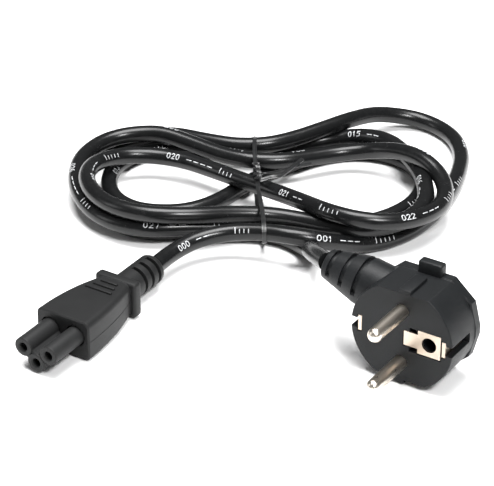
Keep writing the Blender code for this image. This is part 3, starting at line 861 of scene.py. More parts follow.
@dataclass
class PrintRow:
    """Plain length marks printed along the jacket: numerals that count up, ticks and dashes."""

    route: Route
    height: float = 1.9 * MM
    width: float = 1.15 * MM
    stroke: float = 0.3 * MM
    lift: float = 0.04 * MM
    start: float = 14.0 * MM
    pitch: float = 52.0 * MM
    dashes_at: float = 8.5 * MM
    dash: float = 2.0 * MM
    dash_pitch: float = 3.2 * MM
    ticks_at: float = 24.0 * MM
    tick_pitch: float = 1.7 * MM
    bearing: Sequence[tuple[float, float]] = (
        (0.0, 50.0), (0.12, 44.0), (0.3, 34.0), (0.62, 40.0), (0.9, 46.0),
        (1.12, 44.0), (1.3, 20.0), (1.4, 34.0), (1.48, 48.0), (1.56, 50.0),
    )

    GLYPHS = {
        "0": ((0, 1), (0, 3), (0.6, 4), (1.4, 4), (2, 3), (2, 1), (1.4, 0), (0.6, 0), (0, 1)),
        "1": ((0.3, 3.2), (1, 4), (1, 0)),
        "2": ((0, 3.2), (0.6, 4), (1.4, 4), (2, 3.2), (2, 2.6), (0, 0), (2, 0)),
        "3": ((0, 4), (2, 4), (0.9, 2.5), (2, 1.6), (2, 0.8), (1.4, 0), (0.5, 0), (0, 0.6)),
        "4": ((1.5, 0), (1.5, 4), (0, 1.2), (2, 1.2)),
        "5": ((1.9, 4), (0.2, 4), (0.1, 2.4), (1.3, 2.5), (2, 1.8), (2, 0.8), (1.4, 0), (0.1, 0)),
        "6": ((1.8, 4), (0.6, 3.4), (0, 2), (0, 0.8), (0.6, 0),
              (1.4, 0), (2, 0.8), (2, 1.6), (1.4, 2.2), (0.1, 1.8)),
        "7": ((0, 4), (2, 4), (0.8, 0)),
        "8": ((1, 2.2), (0.2, 3), (0.6, 4), (1.4, 4), (1.8, 3),
              (0, 1), (0.5, 0), (1.5, 0), (2, 1), (1, 2.2)),
        "9": ((0.2, 0), (1.4, 0.6), (2, 2), (2, 3.2), (1.4, 4),
              (0.6, 4), (0, 3.2), (0, 2.4), (0.6, 1.8), (1.9, 2.2)),
    }

    def _marks(self) -> Iterable[tuple[Vector, Vector]]:
        """Every stroke of the row.

        Returns:
            The strokes' two ends on the unrolled jacket: metres along, and up from the baseline.
        """
        count = 0
        start = self.start
        while start + self.pitch < self.route.length:
            yield from self._numeral(start, f"{count:03d}")
            yield from self._dashes(start + self.dashes_at, 2 + count % 3)
            yield from self._ticks(start + self.ticks_at, 4 + count % 2)
            start += self.pitch
            count += 1

    def _numeral(self, start: float, digits: str) -> Iterable[tuple[Vector, Vector]]:
        """A number, as straight strokes.

        Args:
            start: how far along the jacket it starts.
            digits: what it reads.
        Returns:
            Its strokes' two ends.
        """
        scale = Vector((self.width / 2, self.height / 4))
        for index, digit in enumerate(digits):
            left = Vector((start + index * 1.65 * self.width, 0.0))
            glyph = [left + Vector(point) * scale for point in self.GLYPHS[digit]]
            yield from zip(glyph, glyph[1:])

    def _dashes(self, start: float, count: int) -> Iterable[tuple[Vector, Vector]]:
        """Short bars in a line.

        Args:
            start: how far along the jacket they start.
            count: how many there are.
        Returns:
            Their two ends.
        """
        for index in range(count):
            left = Vector((start + index * self.dash_pitch, 0.45 * self.height))
            yield left, left + Vector((self.dash, 0.0))

    def _ticks(self, start: float, count: int) -> Iterable[tuple[Vector, Vector]]:
        """Upright ticks, the first one taller.

        Args:
            start: how far along the jacket they start.
            count: how many there are.
        Returns:
            Their two ends.
        """
        for index in range(count):
            foot = Vector((start + index * self.tick_pitch, 0.0))
            yield foot, foot + Vector((0.0, self.height if index == 0 else 0.6 * self.height))

    def _stroke(self, shape: Shape, start: Vector, end: Vector) -> None:
        """Lays one stroke on the jacket.

        Args:
            shape: the mesh that it goes into.
            start: one end on the unrolled jacket.
            end: the other end.
        """
        radius = CORD_D / 2 + self.lift
        ahead = (end - start).normalized() * (self.stroke / 2)
        aside = Vector((-ahead.y, ahead.x))
        start, end = start - ahead, end + ahead
        parts = max(1, math.ceil((end - start).length / (0.5 * MM)))
        share = np.linspace(0.0, 1.0, parts + 1)
        places, bearings = zip(*self.bearing)
        edges = []
        for edge in (aside, -aside):
            distance = start.x + edge.x + (end.x - start.x) * share
            height = start.y + edge.y + (end.y - start.y) * share
            base = np.radians(np.interp(distance, places, bearings))
            points = self.route.at(distance, base - (height - self.height / 2) / radius, radius)
            edges.append([shape.bm.verts.new(point) for point in points])
        for i in range(parts):
            shape.bm.faces.new((edges[0][i], edges[1][i], edges[1][i + 1], edges[0][i + 1]))

    def build(self, material: bpy.types.Material) -> bpy.types.Object:
        """Prints the whole row.

        Args:
            material: the ink.
        Returns:
            The print, one thin piece.
        """
        shape = Shape()
        for start, end in self._marks():
            self._stroke(shape, start, end)
        return shape.object("cord_print", material)


@dataclass
class Lead:
    """The round lead in its tied loops, from the connector to the plug."""

    route: Route = field(default_factory=lambda: Route(CORD_ROUTE))
    sides: int = 28
    skin: CordJacket = CordJacket()
    ink: PrintInk = PrintInk()

    def build(self) -> tuple[bpy.types.Object, bpy.types.Object]:
        """Builds the jacket and its print.

        Returns:
            The jacket, and the print on it.
        """
        turn = np.linspace(0.0, math.tau, self.sides, endpoint=False)
        distance, angle = np.meshgrid(self.route.along, turn, indexing="ij")
        points = self.route.at(distance, angle, CORD_D / 2)
        jacket = Shape.skin(points.tolist()).object("cord", self.skin.material())
        ride(jacket, Slot.CORD, "cord_hank", "cord_to_connector", "cord_to_plug")
        printed = PrintRow(self.route).build(self.ink.material())
        return jacket, ride(printed, Slot.CORD)

    def declare(self, jacket: bpy.types.Object) -> None:
        """Args:
            jacket: the cord's piece; not used.
        """
        tuple(self.route.line[-1])


@dataclass(frozen=True)
class TieCoat:
    """Black plastic round the tie's wire, glossy and creased."""

    tone: float = 0.012
    worn: float = 0.03
    creases: float = 0.06 * MM

    def material(self) -> bpy.types.Material:
        """Builds the material.

        Returns:
            The finished material.
        """
        finish = Finish("tie_coat")
        place = finish.place()
        crease = finish.noise(place, 1400.0, 3.0, 0.6)
        wear = finish.noise(place, 500.0, 4.0, 0.7).between(0.5, 0.75)
        colour = finish.mix(wear, grey(self.tone, -0.03), grey(self.worn, -0.03))
        normal = finish.bump(crease, self.creases)
        return finish.done(Base_Color=colour, Roughness=0.3 + wear * 0.15, Normal=normal)


@dataclass
class TwistTie:
    """A flat plastic tie with a wire in it, round the waist of the loops and twisted on top."""

    width: float = 1.5 * MM
    thick: float = 0.36 * MM
    ridge: float = 0.36 * MM
    loop: Sequence[tuple[float, float, float]] = (
        (0.0056, 0.0671, 0.0004), (0.0054, 0.0713, 0.0004), (0.0052, 0.0754, 0.0004),
        (0.0049, 0.0796, 0.0004), (0.0047, 0.0837, 0.0004), (0.0045, 0.0879, 0.0004),
        (0.0043, 0.0921, 0.0004), (0.0041, 0.0962, 0.0004), (0.0039, 0.1004, 0.0004),
        (0.0037, 0.1045, 0.0004), (0.0036, 0.1087, 0.0004), (0.0035, 0.1128, 0.0004),
        (0.0035, 0.1170, 0.0004), (0.0034, 0.1211, 0.0004), (0.0033, 0.1253, 0.0004),
        (0.0032, 0.1295, 0.0004), (0.0031, 0.1331, 0.0015), (0.0031, 0.1325, 0.0054),
        (0.0032, 0.1295, 0.0083), (0.0032, 0.1266, 0.0113), (0.0032, 0.1228, 0.0126),
        (0.0032, 0.1187, 0.0127), (0.0032, 0.1145, 0.0128), (0.0032, 0.1104, 0.0129),
        (0.0033, 0.1062, 0.0130), (0.0036, 0.1020, 0.0131), (0.0039, 0.0979, 0.0132),
        (0.0041, 0.0937, 0.0134), (0.0041, 0.0896, 0.0135), (0.0043, 0.0854, 0.0136),
        (0.0044, 0.0813, 0.0137), (0.0048, 0.0771, 0.0138), (0.0052, 0.0730, 0.0139),
        (0.0055, 0.0688, 0.0141), (0.0058, 0.0646, 0.0142), (0.0060, 0.0605, 0.0143),
        (0.0062, 0.0563, 0.0144), (0.0063, 0.0527, 0.0128), (0.0064, 0.0529, 0.0089),
        (0.0065, 0.0563, 0.0066), (0.0060, 0.0599, 0.0045), (0.0058, 0.0635, 0.0024),
    )
    twist: tuple[tuple[float, float, float], tuple[float, float, float]] = (
        (0.0035, 0.1008, 0.0141), (0.0045, 0.0881, 0.0144),
    )
    tails: Sequence[Sequence[tuple[float, float, float]]] = (
        ((0.0057, 0.0877, 0.0142), (0.0086, 0.0892, 0.0144), (0.0122, 0.0908, 0.0143),
         (0.0162, 0.0976, 0.0138), (0.0206, 0.1057, 0.0131)),
        ((0.0054, 0.0926, 0.0140), (0.0081, 0.0938, 0.0137), (0.0123, 0.0967, 0.0131),
         (0.0163, 0.1000, 0.0127), (0.0236, 0.1040, 0.0123)),
    )
    turns: float = 1.6
    twist_radius: float = 0.62 * MM
    spins: tuple[float, float] = (0.5, -0.1)
    parts: int = 8
    coat: TieCoat = TieCoat()

    def _wound(self, tail: Sequence[Sequence[float]], phase: float) -> np.ndarray:
        """A tail with the turns that it makes round the twist.

        Args:
            tail: the free end's points, from the twist outward.
            phase: where round the twist it starts, in radians.
        Returns:
            Its line.
        """
        top, low = (Vector(point) for point in self.twist)
        axis = (low - top).normalized()
        across = axis.cross(Vector((0.0, 0.0, 1.0))).normalized()
        up = across.cross(axis)
        points = []
        for step in range(13):
            share = step / 12
            angle = phase + share * self.turns * math.tau
            around = across * math.cos(angle) + up * math.sin(angle)
            points.append(tuple(top.lerp(low, share) + around * self.twist_radius))
        given = np.array([*points, *tail])
        return np.array([*smooth_line(given[0], given, given[-1], self.parts), given[-1]])

    def _band(self) -> np.ndarray:
        """The closed line of the loop round the waist."""
        given = np.array(self.loop)
        points = np.vstack([given, given[:1]])
        return np.array(smooth_line(given[-1], points, given[1], self.parts))

    def _strip(self, shape: Shape, line: np.ndarray, closed: bool, spin: float) -> None:
        """Adds a flat strip with a wire ridge along a line.

        Args:
            shape: the mesh that it goes into.
            line: its centre line.
            closed: whether it closes on itself.
            spin: how far it is turned about its line over its length, in radians.
        """
        count = len(line)
        if closed:
            ahead = np.roll(line, -1, 0) - np.roll(line, 1, 0)
            out = line - line.mean(0)
        else:
            ahead = np.gradient(line, axis=0)
            out = np.tile(np.array([0.0, 0.0, 1.0]), (count, 1))
        ahead /= np.linalg.norm(ahead, axis=1)[:, None]
        out -= ahead * (out * ahead).sum(1)[:, None]
        out /= np.linalg.norm(out, axis=1)[:, None]
        side = np.cross(ahead, out)
        turn = np.linspace(0.0, spin, count)[:, None]
        facing = out * np.cos(turn) + side * np.sin(turn)
        across = side * np.cos(turn) - out * np.sin(turn)
        half, flat, ridge = self.width / 2, self.thick / 2, self.ridge
        foot, top = 0.32 * half, 0.16 * half
        profile = [(-half, -flat), (half, -flat), (half, flat), (foot, flat), (top, ridge)]
        profile += [(-top, ridge), (-foot, flat), (-half, flat)]
        rings = []
        for i in range(count):
            ring = [line[i] + across[i] * x + facing[i] * y for x, y in profile]
            rings.append([shape.bm.verts.new(point) for point in ring])
        pairs = list(zip(rings, rings[1:])) + ([(rings[-1], rings[0])] if closed else [])
        for first, second in pairs:
            shape.bridge(first, second, len(profile))
        if not closed:
            shape.close(rings[0], rings[-1])

    def build(self) -> list[bpy.types.Object]:
        """Builds the tie.

        Returns:
            Its one piece.
        """
        shape = Shape()
        self._strip(shape, self._band(), True, 0.0)
        for index, (tail, spin) in enumerate(zip(self.tails, self.spins)):
            self._strip(shape, self._wound(tail, index * math.pi), False, spin)
        bmesh.ops.recalc_face_normals(shape.bm, faces=shape.bm.faces)
        made = shape.object("tie_strip", self.coat.material())
        return [ride(made, Slot.TIE, "twist_tie")]


# The plug.


@dataclass
class PlugFace:
    """Sizes of the plug's round block, in its frame: X right, Y up, Z the way the pins point."""

    radius: float = 18.4 * MM
    flat: float = 15.9 * MM
    depth: float = 19.6 * MM
    edge: float = 0.45 * MM
    back: float = 4.9 * MM
    back_step: float = 0.3 * MM
    back_chamfer: float = 1.6 * MM
    shoulder: tuple[float, float] = (16.6 * MM, 9.8 * MM)
    back_side: float = 1.5 * MM
    back_edge: float = 0.35 * MM
    guide: tuple[float, float, float] = (4.3 * MM, 1.3 * MM, 11.0 * MM)
    guide_offset: float = 0.6 * MM
    guide_gap: float = 0.05 * MM
    guide_edge: float = 0.2 * MM
    tab: tuple[float, float, float] = (8.5 * MM, 8.4 * MM, 3.6 * MM)
    tab_x: float = 1.5 * MM
    tab_step: float = 1.8 * MM
    tab_edge: float = 0.6 * MM
    pin_spacing: float = 19.0 * MM
    well_d: float = 5.0 * MM
    well_depth: float = 5.0 * MM
    clip_slot: tuple[float, float, float] = (1.8 * MM, 6.0 * MM, 23.2 * MM)
    clip_x: float = 15.2 * MM
    notch: tuple[float, float, float] = (5.2 * MM, 3.6 * MM, 23.2 * MM)


@dataclass
class EarthSeat:
    """Sizes of the earth plate's stepped seat in the plug's face, and of the hole behind it."""

    far: float = 0.9 * MM
    left: float = 5.9 * MM
    right: float = 14.1 * MM
    half: float = 4.2 * MM
    half_tab: float = 2.6 * MM
    gap: float = 0.3 * MM
    depth: float = 1.4 * MM
    hole_x: float = 10.0 * MM
    hole_d: float = 5.2 * MM
    hole_depth: float = 12.0 * MM
    recess: tuple[float, float, float] = (3.4 * MM, 1.9 * MM, 5.0 * MM)
    recess_at: tuple[float, float] = (4.6 * MM, 3.4 * MM)
    clear: float = 0.5 * MM

    def _outline(self, z: float) -> list[tuple[float, float, float]]:
        """The stepped outline at a height, a gap wider than the plate.

        Args:
            z: the height.
        Returns:
            The points.
        """
        far, left, right = self.far - self.gap, self.left - self.gap, self.right + self.gap
        half, tab = self.half + self.gap, self.half_tab + self.gap
        outline = [(far, tab), (far, -tab), (left, -tab), (left, -half), (right, -half)]
        return [(x, y, z) for x, y in outline + [(right, half), (left, half), (left, tab)]]

    def cuts(self) -> list[Shape]:
        """The seat, the hole and the two recesses beside the seat's tab.

        Returns:
            The shapes to cut.
        """
        radius = self.hole_d / 2
        hole = [(0.0, self.clear), (radius, self.clear)]
        hole += [(radius, -self.hole_depth), (0.0, -self.hole_depth)]
        at = Matrix.Translation((self.hole_x, 0.0, 0.0))
        x, y = self.recess_at
        recesses = [Shape.box(self.recess, (x, side * y, 0.0)) for side in (1, -1)]
        seat = Shape.skin([self._outline(z) for z in (-self.depth, self.clear)])
        return [*recesses, seat, Shape.turned(hole, 64).moved(at)]


@dataclass
class PlugNeck:
    """Sizes of the plug's neck and its slotted strain relief, about their own axis."""

    radius: float = 8.3 * MM
    length: float = 20.5 * MM
    relief: float = 13.6 * MM
    end_radius: float = 5.2 * MM
    rise: float = math.radians(8.6)
    height: float = 5.8 * MM
    set_back: float = 11.0 * MM
    slot_w: float = 1.7 * MM
    slot_depth: float = 1.5 * MM
    slot_pitch: float = 5.6 * MM
    slot_end: float = 3.0 * MM
    slot_start: float = -11.0
    slot_sweep: float = 150.0
    end_edge: float = 0.9 * MM
    shoulder: float = 1.0 * MM
    step: float = 0.02 * MM

    def place(self) -> Matrix:
        """The neck's frame in the plug's: local Z outward."""
        turn = Matrix.Rotation(-self.rise, 4, "Z") @ Matrix.Rotation(-math.radians(90.0), 4, "Y")
        return Matrix.Translation((0.0, self.height, -self.set_back)) @ turn

    def radius_at(self, distance: float) -> float:
        """The outer radius at a distance along the neck."""
        share = max(0.0, (distance - self.length) / self.relief)
        return self.radius + (self.end_radius - self.radius) * share

    def shape(self) -> Shape:
        """The neck and the relief's cone, with rounded ends.

        Returns:
            The shape.
        """
        end = self.length + self.relief
        profile = [(0.0, end)] + dome(self.end_radius, end, self.end_edge)
        cone = self.length + self.end_edge
        profile += [(self.radius_at(cone), cone), (self.radius - self.step, self.length)]
        profile += [(self.radius, self.length - self.shoulder), (self.radius, 0.0), (0.0, 0.0)]
        return Shape.turned(profile, 120).moved(self.place())

    def slots(self) -> list[Shape]:
        """The relief's staggered slots.

        Returns:
            The shapes to cut.
        """
        end = self.length + self.relief - self.slot_end
        rows = [(3, end, self.slot_start), (2, end - self.slot_pitch / 2, self.slot_start + 180.0)]
        found = []
        for count, first, start in rows:
            for index in range(count):
                middle = first - index * self.slot_pitch
                outer = self.radius_at(middle)
                heights = (middle - self.slot_w / 2, middle + self.slot_w / 2)
                radii = (outer - self.slot_depth, outer + self.slot_depth)
                slot = Shape.arc(radii, heights, start, self.slot_sweep)
                found.append(slot.moved(self.place()))
        return found


@dataclass
class Plug:
    """The angled round plug: moulding, pins and earth contacts."""

    face: PlugFace = field(default_factory=PlugFace)
    neck: PlugNeck = field(default_factory=PlugNeck)
    seat: EarthSeat = field(default_factory=EarthSeat)
    plastic: MouldedPlastic = MouldedPlastic("plug_plastic", 0.009, 0.09, 0.4, 0.00005)
    pins: NickelPlate = NickelPlate("pin_nickel", (0.78, 0.71, 0.62), 0.27)
    # The earth plates take a darker copy of the pins' nickel: painted shade that holds down their
    # glare under the lamps.
    plates_in_painted_shade: NickelPlate = NickelPlate("plate_nickel_painted_shade", (0.6, 0.515, 0.425), 0.3)

    @property
    def place(self) -> Matrix:
        """Where the plug stands."""
        return fixture_place(PLUG_AT)

    def build(self) -> list[bpy.types.Object]:
        """Builds and dresses the plug.

        Returns:
            Its pieces.
        """
        pins, plates_in_painted_shade = self.pins.material(), self.plates_in_painted_shade.material()
        for node in ("pin_line", "pin_neutral"):
            dress(node, pins)
        for node in ("earth_plate", "earth_clip_left", "earth_clip_right"):
            dress(node, plates_in_painted_shade)
        return [self._moulding()]

    def _block(self) -> Shape:
        """The round block with its rounded front edge.

        Returns:
            The shape.
        """
        sizes = self.face
        low = -sizes.depth + sizes.back / 2
        profile = [(0.0, 0.0)] + dome(sizes.radius, 0.0, sizes.edge)
        return Shape.turned(profile + [(sizes.radius, low), (0.0, low)], 128)

    def _flats(self) -> list[Shape]:
        """The blocks that cut the flat top and bottom.

        Returns:
            The shapes to cut.
        """
        sizes = self.face
        size = (3 * sizes.radius, 2 * (sizes.radius - sizes.flat), 3 * sizes.depth)
        return [Shape.box(size, (0.0, side * sizes.radius, 0.0)) for side in (1, -1)]

    def _back_plate(self) -> Shape:
        """The many-sided back plate.

        Returns:
            The shape.
        """
        sizes = self.face
        half_flat = math.sqrt(sizes.radius**2 - sizes.flat**2)
        quarter = [
            Vector((sizes.radius + sizes.back_step, sizes.back_side)),
            Vector(sizes.shoulder),
            Vector((half_flat, sizes.flat + sizes.back_step)),
        ]

        def outline(inset: float, z: float) -> list[tuple[float, float, float]]:
            """The outline of one level.

            Args:
                inset: how much smaller it is.
                z: its height.
            Returns:
                The points.
            """
            corners = [point * (1 - inset / point.length) for point in quarter]
            corners += [Vector((-point.x, point.y)) for point in reversed(corners)]
            corners += [Vector((-point.x, -point.y)) for point in corners]
            return [(point.x, point.y, z) for point in corners]

        front, back = -sizes.depth + sizes.back, -sizes.depth
        loops = [
            outline(sizes.back_edge, front),
            outline(0.0, front - sizes.back_edge),
            outline(0.0, back + sizes.back_chamfer),
            outline(sizes.back_chamfer, back),
        ]
        return Shape.skin(loops)

    def _guides(self) -> list[Shape]:
        """The two guide ribs.

        Returns:
            The shapes.
        """
        sizes = self.face
        width, height, length = sizes.guide
        found = []
        for side in (1, -1):
            depth = -length / 2 - sizes.guide_gap
            middle = (side * sizes.guide_offset, side * sizes.flat, depth)
            found.append(Shape.box((width, 2 * height, length), middle, sizes.guide_edge))
        return found

    def _tab(self) -> Shape:
        """The finger tab on the back plate's top edge.

        Returns:
            The shape.
        """
        sizes = self.face
        back = -sizes.depth + sizes.back_chamfer + sizes.tab_step
        return Shape.box(sizes.tab, (sizes.tab_x, sizes.flat, back), sizes.tab_edge)

    def _side_cuts(self) -> list[Shape]:
        """The wells of the pins and, at both sides, the slot of the spring clip and its notch.

        Returns:
            The shapes to cut.
        """
        sizes = self.face
        radius, depth = sizes.well_d / 2, sizes.well_depth
        cuts = []
        for side in (1, -1):
            profile = [(0.0, depth), (radius, depth), (radius, -depth), (0.0, -depth)]
            well = Shape.turned(profile, 64)
            cuts.append(well.moved(Matrix.Translation((0.0, side * sizes.pin_spacing / 2, 0.0))))
            cuts.append(Shape.box(sizes.clip_slot, (side * sizes.clip_x, 0.0, 0.0)))
            cuts.append(Shape.box(sizes.notch, (side * sizes.radius, 0.0, 0.0)))
        return cuts

    def _moulding(self) -> bpy.types.Object:
        """The plug's black moulding.

        Returns:
            The piece.
        """
        moulding = Moulding("plug_moulding", self.place, self._block())
        moulding.cut(*self._flats())
        moulding.add(self._back_plate(), self.neck.shape(), self._tab(), *self._guides())
        moulding.cut(*self.neck.slots(), *self._side_cuts(), *self.seat.cuts())
        body = moulding.build(self.plastic.material())
        return ride(body, Slot.PLUG, "plug_body")


def dress(node: str, material: bpy.types.Material) -> None:
    """Gives a CAD node its finish.

    Args:
        node: the node's name.
        material: its finish.
    """
    mesh = FRAME["nodes"][node].data
    mesh.materials.clear()
    mesh.materials.append(material)


# The appliance connector.


@dataclass
class ConnectorSizes:
    """Sizes of the connector, in its own frame: X right, Y up, Z the way its nose points."""

    width: float = 21.0 * MM
    height: float = 14.4 * MM
    back_width: float = 12.6 * MM
    back_height: float = 12.0 * MM
    length: float = 29.4 * MM
    corner: float = 2.2 * MM
    taper: float = 2.2
    edge: float = 0.5 * MM
    flange: tuple[float, float, float] = (16.4 * MM, 12.8 * MM, 4.0 * MM)
    flange_edge: float = 1.1 * MM
    boot_d: float = 10.6 * MM
    boot_length: float = 18.0 * MM
    slot_w: float = 1.5 * MM
    slot_depth: float = 1.5 * MM
    slot_pitch: float = 3.9 * MM
    slot_end: float = 3.6 * MM
    slot_start: float = -44.0
    slot_sweep: float = 140.0
    nose_length: float = 14.6 * MM
    nose_root: float = 1.5 * MM
    lobe: float = 3.3 * MM
    spacing: float = 10.0 * MM
    drop: float = 4.3 * MM
    rise: float = 1.2 * MM
    bore: float = 1.5 * MM
    bore_depth: float = 12.0 * MM
    bore_lip: float = 0.35 * MM
    nose_gap: float = 0.45 * MM
    nose_edge: float = 0.3 * MM
    seam: tuple[float, float, float] = (0.11 * MM, 0.4 * MM, 0.09 * MM)
    grip: tuple[float, float, float] = (1.5 * MM, 1.0 * MM, 0.2 * MM)
    grips: tuple[tuple[float, float], ...] = (
        (20.0 * MM, 10.6 * MM), (23.0 * MM, 8.6 * MM), (26.0 * MM, 6.6 * MM),
    )


@dataclass
class Connector:
    """The three-pole appliance connector: body, nose with its sleeves, flange and slotted boot."""

    sizes: ConnectorSizes = field(default_factory=ConnectorSizes)
    plastic: MouldedPlastic = MouldedPlastic("connector_plastic", 0.013, 0.02, 0.44, 0.00005)
    nose_plastic: MouldedPlastic = MouldedPlastic(
        "nose_plastic", 0.015, 0.02, 0.46, 0.00004, 0.35 * MM
    )
    brass: NickelPlate = NickelPlate("contact_brass", (0.72, 0.56, 0.3), 0.3)

    @property
    def place(self) -> Matrix:
        """Where the connector lies."""
        return fixture_place(CONNECTOR_AT)

    def build(self) -> list[bpy.types.Object]:
        """Builds and dresses the connector.

        Returns:
            Its pieces.
        """
        brass = self.brass.material()
        for node in ("contact_line", "contact_neutral", "contact_earth"):
            dress(node, brass)
        return [self._body(), self._nose()]

    def _centres(self) -> list[tuple[float, float]]:
        """The three bores' middles: left, right and the earth below."""
        s = self.sizes
        return [(-s.spacing / 2, s.rise), (s.spacing / 2, s.rise), (0.0, s.rise - s.drop)]

    def _size_at(self, share: float) -> tuple[float, float]:
        """The body's width and height, from its front at 0 to its flange at 1.

        Args:
            share: the share of its length.
        Returns:
            The width and the height.
        """
        s = self.sizes
        narrowing = share**s.taper
        width = s.width + (s.back_width - s.width) * narrowing
        return width, s.height + (s.back_height - s.height) * narrowing

    def _section(self, share: float) -> list[tuple[float, float, float]]:
        """The body's outline at a share of its length."""
        s = self.sizes
        return rounded_rectangle(*self._size_at(share), s.corner, -share * s.length)

    def _lobes(self, grow: float, low: float, high: float, edge: float) -> list[Shape]:
        """The three round lobes and the webs between them.

        Args:
            grow: how much larger than the nose they are.
            low: the lower height.
            high: the upper height.
            edge: the radius of the upper edge.
        Returns:
            The shapes.
        """
        radius = self.sizes.lobe + grow
        found = []
        for x, y in self._centres():
            profile = [(0.0, high)] + dome(radius, high, edge) + [(radius, low), (0.0, low)]
            found.append(Shape.turned(profile, 72).moved(Matrix.Translation((x, y, 0.0))))
        earth = Vector(self._centres()[2])
        for x, y in self._centres()[:2]:
            across = Vector((x, y)) - earth
            top = high - 2 * edge if high > low + edge else high
            size = (across.length, 1.15 * radius, top - low)
            web = Shape.box(size, (across.length / 2, 0.0, (low + top) / 2))
            turn = Matrix.Rotation(math.atan2(across.y, across.x), 4, "Z")
            found.append(web.moved(Matrix.Translation((earth.x, earth.y, 0.0)) @ turn))
        return found

    def _body(self) -> bpy.types.Object:
        """The body, flange and boot.

        Returns:
            The piece.
        """
        s = self.sizes
        loops = [[(x * 0.955, y * 0.94, 0.0) for x, y, _ in self._section(0.0)]]
        loops += [[(x, y, -s.edge) for x, y, _ in self._section(0.0)]]
        loops += [self._section(step / 20) for step in range(1, 21)]
        moulding = Moulding("connector_moulding", self.place, Shape.skin(loops))
        behind = -s.length - s.flange[2] / 2 + s.edge
        plate = Shape.box(s.flange, (0.0, 0.0, behind), s.flange_edge, 4)
        moulding.add(plate, self._boot(), *self._seams(), *self._grips())
        moulding.cut(*self._boot_slots())
        moulding.cut(*self._lobes(s.nose_gap, -s.nose_root, s.nose_root, 0.0))
        body = moulding.build(self.plastic.material())
        return ride(body, Slot.CONNECTOR, "connector_body")

    def _boot_end(self) -> float:
        """How far behind the front face the boot ends."""
        return self.sizes.length + self.sizes.flange[2] + self.sizes.boot_length

    def _boot(self) -> Shape:
        """The boot, tapering at its end.

        Returns:
            The shape.
        """
        s = self.sizes
        end, radius, start = -self._boot_end(), s.boot_d / 2, -s.length - s.edge
        profile = [(0.0, start), (radius, start), (radius, end + 1.6 * MM)]
        profile += [(radius - 0.35 * MM, end + 0.9 * MM), (radius - 1.2 * MM, end + 0.1 * MM)]
        profile += [(radius - 1.5 * MM, end), (0.0, end)]
        return Shape.turned(profile, 96)

    def _boot_slots(self) -> list[Shape]:
        """The boot's staggered slots.

        Returns:
            The shapes to cut.
        """
        s = self.sizes
        radius = s.boot_d / 2
        radii = (radius - s.slot_depth, radius + s.slot_depth)
        found = []
        for index in range(3):
            for shift, start in ((0.0, s.slot_start), (s.slot_pitch / 2, s.slot_start + 180.0)):
                middle = -self._boot_end() + s.slot_end + index * s.slot_pitch + shift
                heights = (middle - s.slot_w / 2, middle + s.slot_w / 2)
                found.append(Shape.arc(radii, heights, start, s.slot_sweep))
        return found

    def _seams(self) -> list[Shape]:
        """The fine parting lines along both sides, standing a little proud.

        Returns:
            The shapes.
        """
        found = []
        length = self.sizes.length
        half, inside, proud = self.sizes.seam
        for side in (1, -1):
            loops = []
            for distance in np.linspace(0.8 * MM, length - 0.2 * MM, 16).tolist():
                edge = self._size_at(distance / length)[0] / 2
                low, high = edge - inside, edge + proud
                corners = [(low, -half), (high, -half), (high, half), (low, half)]
                loop = [(side * x, y, -distance) for x, y in corners]
                loops.append(loop if side > 0 else loop[::-1])
            found.append(Shape.skin(loops))
        return found

    def _grips(self) -> list[Shape]:
        """The three grip ridges across the top, shorter toward the flange.

        Returns:
            The shapes.
        """
        found = []
        height, width, edge = self.sizes.grip
        for distance, length in self.sizes.grips:
            top = self._size_at(distance / self.sizes.length)[1] / 2
            middle = (0.0, top - 0.05 * MM, -distance)
            found.append(Shape.box((length, height, width), middle, edge))
        return found

    def _nose(self) -> bpy.types.Object:
        """The nose with its three bores.

        Returns:
            The piece.
        """
        s = self.sizes
        low = -s.nose_root + s.nose_edge
        first, *rest = self._lobes(0.0, low, s.nose_length, s.nose_edge)
        moulding = Moulding("connector_nose_moulding", self.place, first)
        moulding.add(*rest)
        floor, top, lip = s.nose_length - s.bore_depth, s.nose_length, s.bore + s.bore_lip
        profile = [(0.0, top + 1 * MM), (lip, top + 1 * MM), (lip, top)]
        profile += [(s.bore, top - s.bore_lip), (s.bore, floor), (0.0, floor)]
        for x, y in self._centres():
            moulding.cut(Shape.turned(profile, 48).moved(Matrix.Translation((x, y, 0.0))))
        nose = moulding.build(self.nose_plastic.material())
        return ride(nose, Slot.NOSE, "connector_nose")


# The studio.


@dataclass(frozen=True)
class Lamp:
    """One soft rectangular lamp: where it hangs, its width and height, and its power in watts."""

    name: str
    at: tuple[float, float, float]
    size: tuple[float, float]
    watts: float

    def hang(self, look: Vector) -> None:
        """Hangs the lamp, facing a point.

        Args:
            look: the point.
        """
        data = bpy.data.lights.new(self.name, "AREA")
        data.shape = "RECTANGLE"
        data.size, data.size_y = self.size
        data.energy = self.watts
        made = bpy.data.objects.new(self.name, data)
        bpy.context.scene.collection.objects.link(made)
        made.location = self.at
        made.rotation_euler = (look - Vector(self.at)).to_track_quat("-Z", "Y").to_euler()


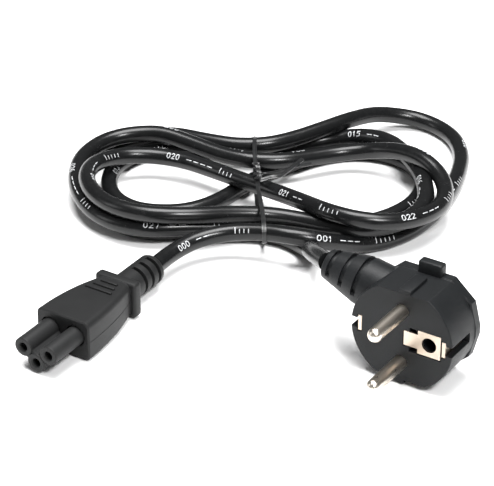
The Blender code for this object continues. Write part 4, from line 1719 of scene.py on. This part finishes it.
@dataclass
class Studio:
    """White paper, soft lamps and the camera."""

    look: Vector = field(default_factory=lambda: Vector((0.0004, 0.0674, 0.0)))
    elevation: float = 30.0
    distance: float = 0.84507
    sensor: float = 36.0
    lens: float = 36.0 * 2400.0 / 494.0
    paper: FloorPaper = FloorPaper()
    paper_side: float = 6.0
    paper_drop: float = 0.05 * MM
    room: float = 0.14
    lamps: tuple[Lamp, ...] = (
        Lamp("overhead_box", (0.0, 0.15, 1.3), (0.9, 0.8), 36.0),
        Lamp("key_box", (0.38, -0.72, 0.95), (0.34, 0.2), 14.0),
        Lamp("left_box", (-1.1, -0.1, 0.5), (0.3, 0.5), 1.5),
    )

    def camera(self) -> None:
        """Sets up the camera at the photograph's angle."""
        data = bpy.data.cameras.new("view")
        data.lens = self.lens
        data.sensor_width = self.sensor
        data.clip_start, data.clip_end = 0.01, 20.0
        made = bpy.data.objects.new("view", data)
        bpy.context.scene.collection.objects.link(made)
        tilt = math.radians(self.elevation)
        back = Vector((0.0, -math.cos(tilt), math.sin(tilt)))
        made.location = self.look + back * self.distance
        made.rotation_euler = (math.radians(90.0) - tilt, 0.0, 0.0)
        bpy.context.scene.camera = made
        bpy.context.scene.view_settings.view_transform = "Standard"

    def floor(self) -> None:
        """Lays the paper."""
        half = self.paper_side / 2
        corners = [(-half, -half), (half, -half), (half, half), (-half, half)]
        paper = Shape()
        paper.bm.faces.new([paper.bm.verts.new((x, y, -self.paper_drop)) for x, y in corners])
        paper.object("paper", self.paper.material())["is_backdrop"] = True

    def lights(self) -> None:
        """Lights the room faintly and hangs the lamps."""
        world = bpy.data.worlds.new("room")
        world.use_nodes = True
        background = world.node_tree.nodes["Background"]
        background.inputs["Color"].default_value = grey(1.0)
        background.inputs["Strength"].default_value = self.room
        bpy.context.scene.world = world
        for lamp in self.lamps:
            lamp.hang(self.look)

    def build(self) -> None:
        """Sets the whole studio up."""
        self.floor()
        self.lights()


def write_sizes() -> None:
    """Works out the CAD box and the finished model's box."""
    boxes = {
        name: [list(corner) for corner in box]
        for name, box in (("cad", CAD_BOX), ("visual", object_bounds()))
    }


def main() -> None:
    """Builds every sub-assembly in order."""
    logging.basicConfig(level=logging.INFO, format="%(name)s: %(message)s")
    studio = Studio()
    studio.camera()
    lead = Lead()
    jacket, printed = lead.build()
    tie = TwistTie().build()
    lead.declare(jacket)
    LOG.info("cord: %d points, %.4f m", len(lead.route.line), lead.route.length)
    for assembly in (Plug(), Connector()):
        for piece in assembly.build():
            LOG.info("%s: %d faces", piece.name, len(piece.data.polygons))
    studio.build()
    write_sizes()


if __name__ == "__main__":
    main()
